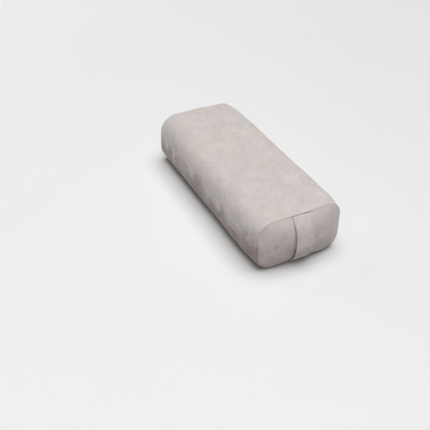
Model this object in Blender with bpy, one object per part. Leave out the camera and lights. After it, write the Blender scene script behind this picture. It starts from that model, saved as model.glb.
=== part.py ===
"""Rectangular yoga bolster with a zipped removable cover and a carrying strap on each end.

Metres, +Z up. The origin is the centre of the flat underside, and +X runs along the length.
The long side that carries the zip faces +Y.
"""

import math

import bmesh
import bpy
from mathutils import Vector

# Cover, from seam to seam and over the filled body
SEAM_TO_SEAM = 0.462
BODY_WIDTH = 0.199
BODY_HEIGHT = 0.118
SIDE_SWELL = 0.003
TOP_SWELL = 0.002
TOP_CROWN = 0.004
LOWER_EDGE_RADIUS = 0.036
UPPER_EDGE_RADIUS = 0.030
END_BULGE = 0.019
END_FULLNESS = 2.6
COVER_CLOTH = 0.0010
SEAM_ALLOWANCE = 0.010

# Clearance between pieces that lie against each other
LAYER_GAP = 0.0003

# Carrying straps
STRAP_WIDTH = 0.040
STRAP_CLOTH = 0.0008
WEBBING_THICKNESS = 0.0010
HAND_GAP = 0.0052
STRAP_LAND_SHARE = 0.88

# Zip chain: elements that widen from neck to head, on a cord along each tape
ZIP_OPENING = 0.376
ZIP_PITCH = 0.0028
TOOTH_NECK = 0.0009
TOOTH_CLEARANCE = 0.00025
TOOTH_REACH = 0.0009
TOOTH_TIP_GAP = 0.0003
COIL_CORD = 0.0014
COIL_THICKNESS = 0.0022
TAPE_THICKNESS = 0.0006
TAPE_WIDTH = 0.013

# Zip slider, its bridge, the pull and the stops
SLIDER_LENGTH = 0.013
SLIDER_PLATE = 0.0010
SLIDER_WALL = 0.0008
SLIDER_RUN_GAP = 0.0002
FLARE_START = -0.0010
FLARE_LENGTH = 0.0039
WEDGE_HALF = 0.0010
WEDGE_LENGTH = 0.0031
WEDGE_TIP = -0.0005
SLOT_CLEARANCE = 0.0005
BRIDGE_WIDTH = 0.0018
BRIDGE_BAR = 0.0009
PULL_THICKNESS = 0.0011
PULL_EDGE = 0.00016
PULL_LENGTH = 0.030
PULL_WIDTH = 0.0070
PULL_TAPER = 0.0065
PULL_RAIL = 0.0012
PULL_BAR_DEPTH = 0.00033
PULL_LIFT = 0.0006
PULL_EYE_GAP = 0.0003
STOP_LENGTH = 0.0022
STOP_WIDTH = 0.0030
STOP_THICKNESS = 0.0034
STOP_MARGIN = 0.0030

# Inner case and filling
LINER_CLOTH = 0.0006
LINER_HEM = 0.008
BATTING_THICKNESS = 0.012

# Facets, and shares of the end's half height and half width at which a dome has a ring
CORNER_STEPS = 5
FOLD_STEPS = 4
STRAP_BENDS = 7
ARCH_STEPS = 8
TEETH_PER_FACE = 6
PANEL_DOME = (0.15, 0.42, 0.64, 0.8, 0.91, 1.0)
FILLING_DOME = (0.2, 0.6, 0.85, 1.0)

# Places worked out from the sizes above
SEAM_X = SEAM_TO_SEAM / 2
END_HALF_WIDTH = BODY_WIDTH / 2 - SIDE_SWELL
SHOULDER_HEIGHT = BODY_HEIGHT - TOP_CROWN
HEM_THICKNESS = 2 * COVER_CLOTH
PANEL_INSET = HEM_THICKNESS + LAYER_GAP
STRAP_THICKNESS = 2 * STRAP_CLOTH + WEBBING_THICKNESS + 2 * LAYER_GAP
STRAP_INSET = HEM_THICKNESS + LAYER_GAP + STRAP_THICKNESS / 2
FLAT_TOP_HALF = STRAP_WIDTH / 2 + HEM_THICKNESS

# Across the zip, measured from the middle of the chain
TOOTH_HEAD = ZIP_PITCH - TOOTH_NECK - 2 * TOOTH_CLEARANCE
CORD_INNER = TOOTH_REACH + TOOTH_TIP_GAP
CORD_OUTER = CORD_INNER + COIL_CORD
TAPE_INNER = CORD_OUTER + LAYER_GAP
THROAT_HALF = CORD_OUTER + SLIDER_RUN_GAP
MOUTH_HALF = WEDGE_HALF + CORD_OUTER + TOOTH_REACH + 2 * SLIDER_RUN_GAP
TAIL_HALF_WIDTH = THROAT_HALF + SLIDER_WALL
NOSE_HALF_WIDTH = MOUTH_HALF + SLIDER_WALL
SLOT_HALF_HEIGHT = NOSE_HALF_WIDTH + SLOT_CLEARANCE
HEM_REACH = SLOT_HALF_HEIGHT + SEAM_ALLOWANCE
PULL_BAR = PULL_THICKNESS / 2
BRIDGE_INNER = PULL_BAR + PULL_EYE_GAP
BRIDGE_OUTER = BRIDGE_INNER + BRIDGE_BAR

# Along the zip
SLOT_X = ZIP_OPENING / 2
TAPE_X = SLOT_X + SEAM_ALLOWANCE - 2 * LAYER_GAP
BACK_STRAIGHT_X = SLOT_X + SEAM_ALLOWANCE + COVER_CLOTH
NOSE_STOP_X = SLOT_X - STOP_MARGIN - STOP_LENGTH
SLIDER_X = NOSE_STOP_X - LAYER_GAP - SLIDER_LENGTH / 2
CHAIN_END_X = SLIDER_X + WEDGE_TIP - LAYER_GAP
TAIL_STOP_X = -SLOT_X + STOP_MARGIN
CHAIN_START_X = TAIL_STOP_X + STOP_LENGTH + LAYER_GAP
ZIP_TRAVEL = SLIDER_X - SLIDER_LENGTH / 2 - CHAIN_START_X

# Depths behind the cover's outer face on the zip side, and the zip's height above the floor
TAPE_FRONT = HEM_THICKNESS + LAYER_GAP
CHAIN_DEPTH = TAPE_FRONT + TAPE_THICKNESS / 2
SLIDER_HALF_DEPTH = COIL_THICKNESS / 2 + SLIDER_RUN_GAP + SLIDER_PLATE
SLIDER_ROOM = CHAIN_DEPTH + SLIDER_HALF_DEPTH + LAYER_GAP
TAPE_ROOM = TAPE_FRONT + TAPE_THICKNESS + LAYER_GAP
ZIP_HEIGHT = SHOULDER_HEIGHT / 2
BACK_Y = END_HALF_WIDTH + SIDE_SWELL
CHAIN_Y = BACK_Y - CHAIN_DEPTH
PULL_AXIS_Y = BACK_Y + PULL_LIFT + PULL_BAR
ZIP_FLAT_HALF = HEM_REACH + 2 * LAYER_GAP
CORNER_ROOM = SHOULDER_HEIGHT - TOP_SWELL - ZIP_HEIGHT - ZIP_FLAT_HALF
LOWER_RADIUS = min(LOWER_EDGE_RADIUS, CORNER_ROOM)
UPPER_RADIUS = min(UPPER_EDGE_RADIUS, CORNER_ROOM)

# Layers of the filling
LINER_INSET = COVER_CLOTH + LAYER_GAP
LINER_END_INSET = STRAP_INSET + STRAP_THICKNESS / 2 + LAYER_GAP
LINER_X = SEAM_X - COVER_CLOTH - LAYER_GAP
CORE_X = LINER_X - LINER_HEM - LAYER_GAP
CORE_INSET = LINER_INSET + LINER_CLOTH + BATTING_THICKNESS + 2 * LAYER_GAP
LINER_NARROW_X = SEAM_X - SEAM_ALLOWANCE - COVER_CLOTH
ZIP_ROOM_END_X = (BACK_STRAIGHT_X + LINER_NARROW_X) / 2

# Distances from the middle at which the layers have rings
BODY_STATIONS = (0.3 * SEAM_X, 0.6 * SEAM_X, BACK_STRAIGHT_X)
END_STATIONS = (ZIP_ROOM_END_X, LINER_NARROW_X)


def clear_scene():
    for thing in list(bpy.data.objects):
        bpy.data.objects.remove(thing, do_unlink=True)


def finish(name, colour, roughness, metallic=0.0):
    """A plain Principled material."""
    made = bpy.data.materials.new(name)
    made.use_nodes = True
    shader = made.node_tree.nodes["Principled BSDF"]
    shader.inputs["Base Color"].default_value = (*colour, 1.0)
    shader.inputs["Roughness"].default_value = roughness
    shader.inputs["Metallic"].default_value = metallic
    return made


def add_piece(name, mesh, material, origin=(0.0, 0.0, 0.0)):
    """Turns a bmesh in world places into an object whose origin is at the given point."""
    bmesh.ops.recalc_face_normals(mesh, faces=mesh.faces)
    bmesh.ops.translate(mesh, verts=mesh.verts, vec=-Vector(origin))
    data = bpy.data.meshes.new(name)
    mesh.to_mesh(data)
    mesh.free()
    data.shade_smooth()
    data.set_sharp_from_angle(angle=math.radians(40))
    piece = bpy.data.objects.new(name, data)
    piece.location = origin
    if material:
        data.materials.append(material)
    bpy.context.scene.collection.objects.link(piece)
    return piece


def hide_cutter(cutter):
    cutter.hide_render = True
    cutter.display_type = "WIRE"
    return cutter


def boolean(piece, operation, other):
    step = piece.modifiers.new(operation.title() + " " + other.name, "BOOLEAN")
    step.operation = operation
    step.object = hide_cutter(other)


def lofted(rings, closed=False):
    """Skins rings of equal length with triangles. A closed loft runs back to its first ring.

    Every skin is split along the same diagonals, so that one layer lies evenly on the next.
    """
    mesh = bmesh.new()
    loops = [[mesh.verts.new(point) for point in ring] for ring in rings]
    pairs = list(zip(loops, loops[1:]))
    if closed:
        pairs.append((loops[-1], loops[0]))
    else:
        mesh.faces.new(loops[0])
        mesh.faces.new(loops[-1])
    for here, there in pairs:
        if there[0].co.x < here[0].co.x:
            here, there = there, here
        for i in range(len(here)):
            mesh.faces.new((here[i - 1], here[i], there[i]))
            mesh.faces.new((here[i - 1], there[i], there[i - 1]))
    return mesh


def extruded(outline, direction):
    """A flat outline of points pushed along a direction."""
    near = [Vector(point) for point in outline]
    far = [point + Vector(direction) for point in near]
    return lofted([near, far])


def block(low, high):
    """A plain box between two corners."""
    (x0, y0, z0), (x1, y1, z1) = low, high
    return extruded([(x0, y0, z0), (x0, y1, z0), (x0, y1, z1), (x0, y0, z1)], (x1 - x0, 0, 0))


def smoothstep(low, high, value):
    share = min(max((value - low) / (high - low), 0.0), 1.0)
    return share * share * (3 - 2 * share)


def blend(first, second, share):
    return first + (second - first) * share


# Form of the filled body

def front_half(x):
    return END_HALF_WIDTH + SIDE_SWELL * (1 - (x / SEAM_X) ** 2)


def back_half(x):
    """The zip side stays straight along the zip and draws in only past its ends."""
    return BACK_Y - SIDE_SWELL * smoothstep(BACK_STRAIGHT_X, SEAM_X, abs(x))


def shoulder_height(x):
    return SHOULDER_HEIGHT - TOP_SWELL * (x / SEAM_X) ** 2


def zip_room(x, off_chain):
    """Depth behind the cover's face that the filling leaves to the hem, the tape and the slider."""
    along = 1 - smoothstep(BACK_STRAIGHT_X, ZIP_ROOM_END_X, abs(x))
    slider_edge = NOSE_HALF_WIDTH + LAYER_GAP
    hem_edge = HEM_REACH + LAYER_GAP
    if off_chain <= slider_edge:
        return along * SLIDER_ROOM
    if off_chain <= hem_edge:
        share = (off_chain - slider_edge) / (hem_edge - slider_edge)
        return along * blend(SLIDER_ROOM, TAPE_ROOM, share)
    return along * TAPE_ROOM * (1 - smoothstep(hem_edge, hem_edge + 2 * COVER_CLOTH, off_chain))


def corner(centre_y, centre_z, radius, first_angle):
    """A quarter circle of points, anticlockwise as seen from +X with +Y to the right."""
    points = []
    for i in range(CORNER_STEPS + 1):
        angle = math.radians(first_angle + 90 * i / CORNER_STEPS)
        points.append((centre_y + radius * math.cos(angle), centre_z + radius * math.sin(angle)))
    return points


def section(x, inset, behind_liner=None):
    """The body's section at x, inset from the cover's outer face, as (y, z) points.

    behind_liner is the depth behind the liner's outer face, for layers that make room for the zip.
    """
    front, back, top = front_half(x), back_half(x), shoulder_height(x)
    low_radius = max(LOWER_RADIUS - inset, COVER_CLOTH)
    high_radius = max(UPPER_RADIUS - inset, COVER_CLOTH)
    low, high = inset + low_radius, inset + high_radius
    points = corner(-front + low, low, low_radius, 180)
    points.append((0.0, inset))
    points += corner(back - low, low, low_radius, 270)
    for off_chain in (HEM_REACH + LAYER_GAP, NOSE_HALF_WIDTH + LAYER_GAP):
        points.append((back - inset, ZIP_HEIGHT - off_chain))
    for off_chain in (NOSE_HALF_WIDTH + LAYER_GAP, HEM_REACH + LAYER_GAP):
        points.append((back - inset, ZIP_HEIGHT + off_chain))
    points += corner(back - high, top - high, high_radius, 0)
    points.append(((back - high + FLAT_TOP_HALF) / 2, top - inset))
    points += [(FLAT_TOP_HALF, top - inset), (-FLAT_TOP_HALF, top - inset)]
    points.append((-(front - high + FLAT_TOP_HALF) / 2, top - inset))
    points += corner(-front + high, top - high, high_radius, 90)
    points.append((-front + inset, top / 2))
    placed = []
    for y, z in points:
        half = back if y > 0 else front
        off_flat = max(0.0, abs(y) - FLAT_TOP_HALF) / (half - FLAT_TOP_HALF)
        height_share = max(0.0, (z - top / 2) / (top / 2 - inset))
        lift = TOP_CROWN * (1 - off_flat ** 2) * height_share
        if behind_liner is not None and y > 0:
            y = min(y, back - zip_room(x, abs(z - ZIP_HEIGHT)) - behind_liner)
        placed.append((y, z + lift))
    return placed


def ring(x, inset, behind_liner=None):
    return [Vector((x, y, z)) for y, z in section(x, inset, behind_liner)]


def both_ways(distances):
    """The stations at each distance either side of the middle, from -X to +X."""
    outward = sorted(distances)
    return [-x for x in reversed(outward)] + [0.0] + outward


def end_ring(side, rim_x, inset, share, bulge):
    """The section's rim shrunk to a share about its centre and pushed out along a dome."""
    rim = section(side * SEAM_X, inset)
    middle = (min(z for _, z in rim) + max(z for _, z in rim)) / 2
    x = side * (rim_x + bulge * (1 - share ** END_FULLNESS))
    return [Vector((x, y * share, middle + (z - middle) * share)) for y, z in rim]


# Cover

def make_cover_wrap(material):
    """One piece of cloth round the body, folded back inside at both end seams and round the zip."""
    hem_x = SEAM_X - SEAM_ALLOWANCE
    along = both_ways(BODY_STATIONS + END_STATIONS)
    fold = []
    for i in range(FOLD_STEPS + 1):
        angle = math.pi * i / FOLD_STEPS
        fold.append((SEAM_X - COVER_CLOTH * (1 - math.sin(angle)), COVER_CLOTH * (1 - math.cos(angle))))
    rings = [ring(x, 0.0) for x in along]
    rings += [ring(x, inset) for x, inset in fold]
    rings += [ring(hem_x, HEM_THICKNESS), ring(hem_x, COVER_CLOTH)]
    rings += [ring(x, COVER_CLOTH) for x in reversed(along)]
    rings += [ring(-hem_x, COVER_CLOTH), ring(-hem_x, HEM_THICKNESS)]
    rings += [ring(-x, inset) for x, inset in reversed(fold)]
    wrap = add_piece("cover_wrap", lofted(rings, closed=True), material)

    hem = block(
        (-SLOT_X - SEAM_ALLOWANCE, BACK_Y - HEM_THICKNESS, ZIP_HEIGHT - HEM_REACH),
        (SLOT_X + SEAM_ALLOWANCE, BACK_Y - COVER_CLOTH / 2, ZIP_HEIGHT + HEM_REACH),
    )
    boolean(wrap, "UNION", add_piece("zip_hem", hem, None))
    slot = block(
        (-SLOT_X, BACK_Y - 2 * HEM_THICKNESS, ZIP_HEIGHT - SLOT_HALF_HEIGHT),
        (SLOT_X, BACK_Y + HEM_THICKNESS, ZIP_HEIGHT + SLOT_HALF_HEIGHT),
    )
    boolean(wrap, "DIFFERENCE", add_piece("zip_slot", slot, None))
    return wrap


def make_end_panel(name, side, material):
    """A domed panel whose edge turns back inside the wrap's hem as a skirt, notched for the strap."""
    rim_x = SEAM_X - COVER_CLOTH
    bulge = END_BULGE + COVER_CLOTH
    rings = [end_ring(side, rim_x, PANEL_INSET, share, bulge) for share in PANEL_DOME]
    inner_inset = PANEL_INSET + COVER_CLOTH
    for inset in (PANEL_INSET, inner_inset):
        rings.append(end_ring(side, SEAM_X - SEAM_ALLOWANCE, inset, 1.0, 0.0))
    for share in reversed(PANEL_DOME):
        rings.append(end_ring(side, rim_x - COVER_CLOTH, inner_inset, share, bulge))
    panel = add_piece(name, lofted(rings), material)
    boolean(panel, "DIFFERENCE", make_strap_room(side))
    return panel


# Carrying straps

def smooth_path(points, steps):
    """Points along a smooth curve through the given ones."""
    padded = [2 * points[0] - points[1]] + points + [2 * points[-1] - points[-2]]
    path = []
    for a, b, c, d in zip(padded, padded[1:], padded[2:], padded[3:]):
        for i in range(steps):
            t = i / steps
            path.append(
                b
                + (c - a) * (t / 2)
                + (2 * a - 5 * b + 4 * c - d) * (t * t / 2)
                + (3 * b - a - 3 * c + d) * (t * t * t / 2)
            )
    path.append(points[-1])
    return path


def face_point(share, stand_off):
    """A point off the end panel's middle line, at a share of its half height, as (x, z)."""
    top = shoulder_height(SEAM_X) + TOP_CROWN
    middle = top / 2
    half = middle - PANEL_INSET
    rise = END_BULGE + COVER_CLOTH
    x = SEAM_X - COVER_CLOTH + rise * (1 - abs(share) ** END_FULLNESS)
    slope = rise * END_FULLNESS * abs(share) ** (END_FULLNESS - 1) * math.copysign(1, share)
    normal = Vector((half, slope)).normalized()
    return Vector((x, middle + share * half)) + normal * stand_off


def strap_path(tail):
    """The middle of a strap's thickness, from its upper tail down the end to its lower tail."""
    top = shoulder_height(SEAM_X) + TOP_CROWN
    upper, lower = top - STRAP_INSET, STRAP_INSET
    bend_x = (SEAM_X - HEM_THICKNESS, SEAM_X + COVER_CLOTH / 2)
    points = [Vector((x, upper)) for x in (SEAM_X - tail, *bend_x)]
    for i in range(STRAP_BENDS):
        way_down = 2 * i / (STRAP_BENDS - 1) - 1
        gap = blend(HAND_GAP, 2 * LAYER_GAP, way_down ** 2)
        points.append(face_point(-way_down * STRAP_LAND_SHARE, gap + STRAP_THICKNESS / 2))
    points += [Vector((x, lower)) for x in (*reversed(bend_x), SEAM_X - tail)]
    return smooth_path(points, 2)


def swept(side, path, outline):
    """Rings of an outline of (y, outward) points along a path of (x, z) points."""
    rings = []
    for i, here in enumerate(path):
        before, after = path[max(i - 1, 0)], path[min(i + 1, len(path) - 1)]
        along = (after - before).normalized()
        outward = Vector((-along.y, along.x))
        rings.append(
            [
                Vector((side * (here.x + out * outward.x), y, here.y + out * outward.y))
                for y, out in outline
            ]
        )
    return rings


def flat_tube(half_width, half_thickness):
    """A flat outline with half-round edges."""
    points = []
    for sign in (1, -1):
        for i in range(4):
            angle = math.radians(90 - 60 * i)
            y = half_width - half_thickness + half_thickness * math.cos(angle)
            points.append((sign * y, sign * half_thickness * math.sin(angle)))
    return points


def rectangle(half_width, low, high):
    return [(half_width, low), (half_width, high), (-half_width, high), (-half_width, low)]


def make_strap_room(side):
    """What the end panel loses to the strap's tails, with the layer gap all round."""
    path = strap_path(SEAM_ALLOWANCE + HEM_THICKNESS)
    low = -STRAP_THICKNESS / 2 - LAYER_GAP
    outline = rectangle(STRAP_WIDTH / 2 + LAYER_GAP, low, 2 * STRAP_THICKNESS)
    label = "strap_room_right" if side > 0 else "strap_room_left"
    return add_piece(label, lofted(swept(side, path, outline)), None)


def make_strap(name, side, material):
    """The sleeve: a flat tube of cover cloth, open at both tails."""
    path = strap_path(SEAM_ALLOWANCE)
    outer = flat_tube(STRAP_WIDTH / 2, STRAP_THICKNESS / 2)
    inner = flat_tube(STRAP_WIDTH / 2 - STRAP_CLOTH, STRAP_THICKNESS / 2 - STRAP_CLOTH)
    rings = swept(side, path, outer) + swept(side, path, inner)[::-1]
    return add_piece(name, lofted(rings, closed=True), material)


def make_webbing(name, side, material):
    """The woven tape inside the sleeve."""
    half_width = (STRAP_WIDTH - STRAP_THICKNESS) / 2
    half = WEBBING_THICKNESS / 2
    rings = swept(side, strap_path(SEAM_ALLOWANCE), rectangle(half_width, -half, half))
    return add_piece(name, lofted(rings), material)


# Zip

def chain_point(x, across, out=0.0):
    """A place on the zip: along it, across it and outward from the middle of the chain."""
    return Vector((x, CHAIN_Y + out, ZIP_HEIGHT + across))


def make_coil(name, way, first_x, material):
    """One row of elements on its cord. way is +1 for the upper row and -1 for the lower one."""
    count = int((CHAIN_END_X - CHAIN_START_X) / ZIP_PITCH - 0.5)
    half = COIL_THICKNESS / 2
    mesh = bmesh.new()
    shared = {}

    def vert(x, across):
        key = (round(x, 7), across)
        if key not in shared:
            shared[key] = mesh.verts.new(chain_point(x, way * across, -half))
        return shared[key]

    for start in range(0, count, TEETH_PER_FACE):
        teeth = range(start, min(start + TEETH_PER_FACE, count))
        left = first_x + teeth[0] * ZIP_PITCH
        right = first_x + (teeth[-1] + 1) * ZIP_PITCH
        outline = [vert(left, CORD_OUTER), vert(left, CORD_INNER)]
        for tooth in teeth:
            x = first_x + (tooth + 0.5) * ZIP_PITCH
            outline.append(vert(x - TOOTH_NECK / 2, CORD_INNER))
            outline.append(vert(x - TOOTH_HEAD / 2, -TOOTH_REACH))
            outline.append(vert(x + TOOTH_HEAD / 2, -TOOTH_REACH))
            outline.append(vert(x + TOOTH_NECK / 2, CORD_INNER))
        outline += [vert(right, CORD_INNER), vert(right, CORD_OUTER)]
        mesh.faces.new(outline)
    pushed = bmesh.ops.extrude_face_region(mesh, geom=mesh.faces[:], use_keep_orig=True)
    moved = [part for part in pushed["geom"] if isinstance(part, bmesh.types.BMVert)]
    bmesh.ops.translate(mesh, verts=moved, vec=(0, COIL_THICKNESS, 0))
    return add_piece(name, mesh, material)


def make_tape(name, way, material):
    low, high = sorted((way * TAPE_INNER, way * (TAPE_INNER + TAPE_WIDTH)))
    half = TAPE_THICKNESS / 2
    mesh = block(chain_point(-TAPE_X, low, -half), chain_point(TAPE_X, high, half))
    return add_piece(name, mesh, material)


def clamp_outline(low, high, notches):
    """A stop's end view, as (across, out) points, with a notch for the tape at each named edge."""
    half, grip = STOP_THICKNESS / 2, TAPE_THICKNESS / 2 + LAYER_GAP
    points = [(low, -half), (high, -half)]
    if "high" in notches:
        root = TAPE_INNER - LAYER_GAP
        points += [(high, -grip), (root, -grip), (root, grip), (high, grip)]
    points += [(high, half), (low, half)]
    if "low" in notches:
        root = -TAPE_INNER + LAYER_GAP
        points += [(low, grip), (root, grip), (root, -grip), (low, -grip)]
    return points


def make_stop(name, x, low, high, notches, mirror, material):
    """A metal clamp on the edge of one tape, or across both."""
    outline = [chain_point(x, mirror * across, out) for across, out in clamp_outline(low, high, notches)]
    return add_piece(name, extruded(outline, (STOP_LENGTH, 0, 0)), material)


def slider_outline(tail_half, nose_half, tail_x, nose_x):
    """The slider's plan: a narrow tail that flares to a wide nose, as (x, across) points."""
    flare_end = FLARE_START + FLARE_LENGTH
    upper = [(tail_x, tail_half), (FLARE_START, tail_half), (flare_end, nose_half), (nose_x, nose_half)]
    return upper, [(x, -across) for x, across in reversed(upper)]


def make_slider(material):
    """Two plates joined by the wedge that parts the rows, with lips that leave room for the tapes."""
    half = SLIDER_LENGTH / 2
    chamfer = SLIDER_WALL
    upper, lower = slider_outline(TAIL_HALF_WIDTH, NOSE_HALF_WIDTH, -half + chamfer, half - chamfer)
    plan = [(-half, TAIL_HALF_WIDTH - chamfer)] + upper + [(half, NOSE_HALF_WIDTH - chamfer)]
    plan += [(half, -NOSE_HALF_WIDTH + chamfer)] + lower + [(-half, -TAIL_HALF_WIDTH + chamfer)]
    body = [chain_point(SLIDER_X + x, across, -SLIDER_HALF_DEPTH) for x, across in plan]
    origin = chain_point(SLIDER_X, 0.0)
    mesh = extruded(body, (0, 2 * SLIDER_HALF_DEPTH, 0))
    slider = add_piece("zip_slider", mesh, material, origin)

    past = half + SLIDER_WALL
    upper, lower = slider_outline(THROAT_HALF, MOUTH_HALF, -past, past)
    shoulder_x = WEDGE_TIP + WEDGE_LENGTH
    wedge = [(past, WEDGE_HALF), (shoulder_x, WEDGE_HALF), (WEDGE_TIP, 0.0)]
    wedge += [(shoulder_x, -WEDGE_HALF), (past, -WEDGE_HALF)]
    room = COIL_THICKNESS / 2 + SLIDER_RUN_GAP
    plan = upper + wedge + lower
    throat = [chain_point(SLIDER_X + x, across, -room) for x, across in plan]
    boolean(slider, "DIFFERENCE", add_piece("slider_throat", extruded(throat, (0, 2 * room, 0)), None))

    grip = TAPE_THICKNESS / 2 + LAYER_GAP
    for label, way in (("upper", 1), ("lower", -1)):
        low, high = sorted((way * (THROAT_HALF - SLIDER_RUN_GAP), way * (NOSE_HALF_WIDTH + SLIDER_WALL)))
        slit = block(
            chain_point(SLIDER_X - past, low, -grip), chain_point(SLIDER_X + past, high, grip)
        )
        boolean(slider, "DIFFERENCE", add_piece("tape_slit_" + label, slit, None))

    boolean(slider, "UNION", add_piece("slider_bridge", bridge_mesh(), None))
    return slider


def bridge_mesh():
    """The arch that holds the pull's bar, round the bar's axis and down into the front plate."""
    foot = CHAIN_Y + SLIDER_HALF_DEPTH - SLIDER_PLATE / 2
    turns = [math.pi * i / ARCH_STEPS for i in range(ARCH_STEPS + 1)]
    over = [(BRIDGE_OUTER * math.cos(a), PULL_AXIS_Y + BRIDGE_OUTER * math.sin(a)) for a in turns]
    under = [(BRIDGE_INNER * math.cos(a), PULL_AXIS_Y + BRIDGE_INNER * math.sin(a)) for a in turns]
    outline = [(BRIDGE_OUTER, foot), *over, (-BRIDGE_OUTER, foot)]
    outline += [(-BRIDGE_INNER, foot), *reversed(under), (BRIDGE_INNER, foot)]
    low = ZIP_HEIGHT - BRIDGE_WIDTH / 2
    return extruded([(SLIDER_X + x, y, low) for x, y in outline], (0, 0, BRIDGE_WIDTH))


def make_pull(material):
    """A flat tab lying along the closed chain, with a window for the bridge and a round bar end."""
    window_half = BRIDGE_WIDTH / 2 + PULL_EYE_GAP
    neck_half = window_half + PULL_RAIL
    window_end = BRIDGE_OUTER + 2 * PULL_EYE_GAP
    neck_end = window_end + PULL_RAIL
    tip_half = PULL_WIDTH / 2
    stations = []
    for turn in (math.radians(a) for a in (70, 47, 23, 0)):
        stations.append((PULL_BAR * math.sin(turn), neck_half, PULL_BAR * math.cos(turn)))
    stations.append((-neck_end, neck_half, PULL_BAR))
    for turn in (math.radians(a) for a in (0, 35, 60, 80)):
        round_x = -PULL_LENGTH + tip_half * (1 - math.sin(turn))
        stations.append((round_x, tip_half * math.cos(turn), PULL_BAR))
    stations.insert(5, (-neck_end - PULL_TAPER, tip_half, PULL_BAR))
    rings = []
    for x, wide, thick in stations:
        flat_half, side_half = wide - PULL_EDGE, thick - PULL_EDGE
        outline = [(wide, side_half), (flat_half, thick), (-flat_half, thick), (-wide, side_half)]
        outline += [(-across, -out) for across, out in outline]
        rings.append([(SLIDER_X + x, PULL_AXIS_Y + out, ZIP_HEIGHT + across) for across, out in outline])
    origin = (SLIDER_X, PULL_AXIS_Y, ZIP_HEIGHT)
    pull = add_piece("zip_pull", lofted(rings), material, origin)
    window = block(
        (SLIDER_X - window_end, PULL_AXIS_Y - PULL_THICKNESS, ZIP_HEIGHT - window_half),
        (SLIDER_X - PULL_BAR_DEPTH, PULL_AXIS_Y + PULL_THICKNESS, ZIP_HEIGHT + window_half),
    )
    boolean(pull, "DIFFERENCE", add_piece("pull_window", window, None))
    return pull


# Inner case and filling

def liner_inset(x):
    """The case narrows near each end, where the strap's tails and the panel's skirt lie over it."""
    share = smoothstep(BACK_STRAIGHT_X, LINER_NARROW_X, abs(x))
    return blend(LINER_INSET, LINER_END_INSET, share)


def filling_stations(last_x):
    inner = {x for x in BODY_STATIONS + END_STATIONS if x < last_x - LAYER_GAP}
    return both_ways(inner | {last_x})


def make_liner_wrap(material):
    stations = filling_stations(LINER_X)
    outer = [ring(x, liner_inset(x), 0.0) for x in stations]
    inner = [ring(x, liner_inset(x) + LINER_CLOTH, LINER_CLOTH) for x in stations]
    return add_piece("liner_wrap", lofted(outer + inner[::-1], closed=True), material)


def make_liner_end(name, side, material):
    inset = LINER_END_INSET + LINER_CLOTH + LAYER_GAP
    rings = [end_ring(side, LINER_X, inset, share, END_BULGE) for share in FILLING_DOME]
    inner_inset = inset + LINER_CLOTH
    for skirt_inset in (inset, inner_inset):
        rings.append(end_ring(side, LINER_X - LINER_HEM, skirt_inset, 1.0, 0.0))
    for share in reversed(FILLING_DOME):
        rings.append(end_ring(side, LINER_X - LINER_CLOTH, inner_inset, share, END_BULGE))
    return add_piece(name, lofted(rings), material)


def make_batting_wrap(material):
    stations = filling_stations(CORE_X)
    depth = LINER_CLOTH + LAYER_GAP
    outer = [ring(x, liner_inset(x) + depth, depth) for x in stations]
    inner = [ring(x, CORE_INSET - LAYER_GAP) for x in stations]
    return add_piece("batting_wrap", lofted(outer + inner[::-1], closed=True), material)


def make_batting_end(name, side, material):
    """A pad that fills the dome between the core's flat end and the inner case."""
    inset = LINER_END_INSET + 2 * (LINER_CLOTH + LAYER_GAP)
    rim_x = LINER_X - LINER_CLOTH - LAYER_GAP
    rings = [end_ring(side, rim_x, inset, share, END_BULGE) for share in FILLING_DOME]
    rings += [end_ring(side, CORE_X + LAYER_GAP, inset, share, 0.0) for share in (1.0, 0.5)]
    return add_piece(name, lofted(rings), material)


def make_foam_core(material):
    rings = [ring(x, CORE_INSET) for x in both_ways((*BODY_STATIONS, CORE_X))]
    return add_piece("foam_core", lofted(rings), material)


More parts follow.
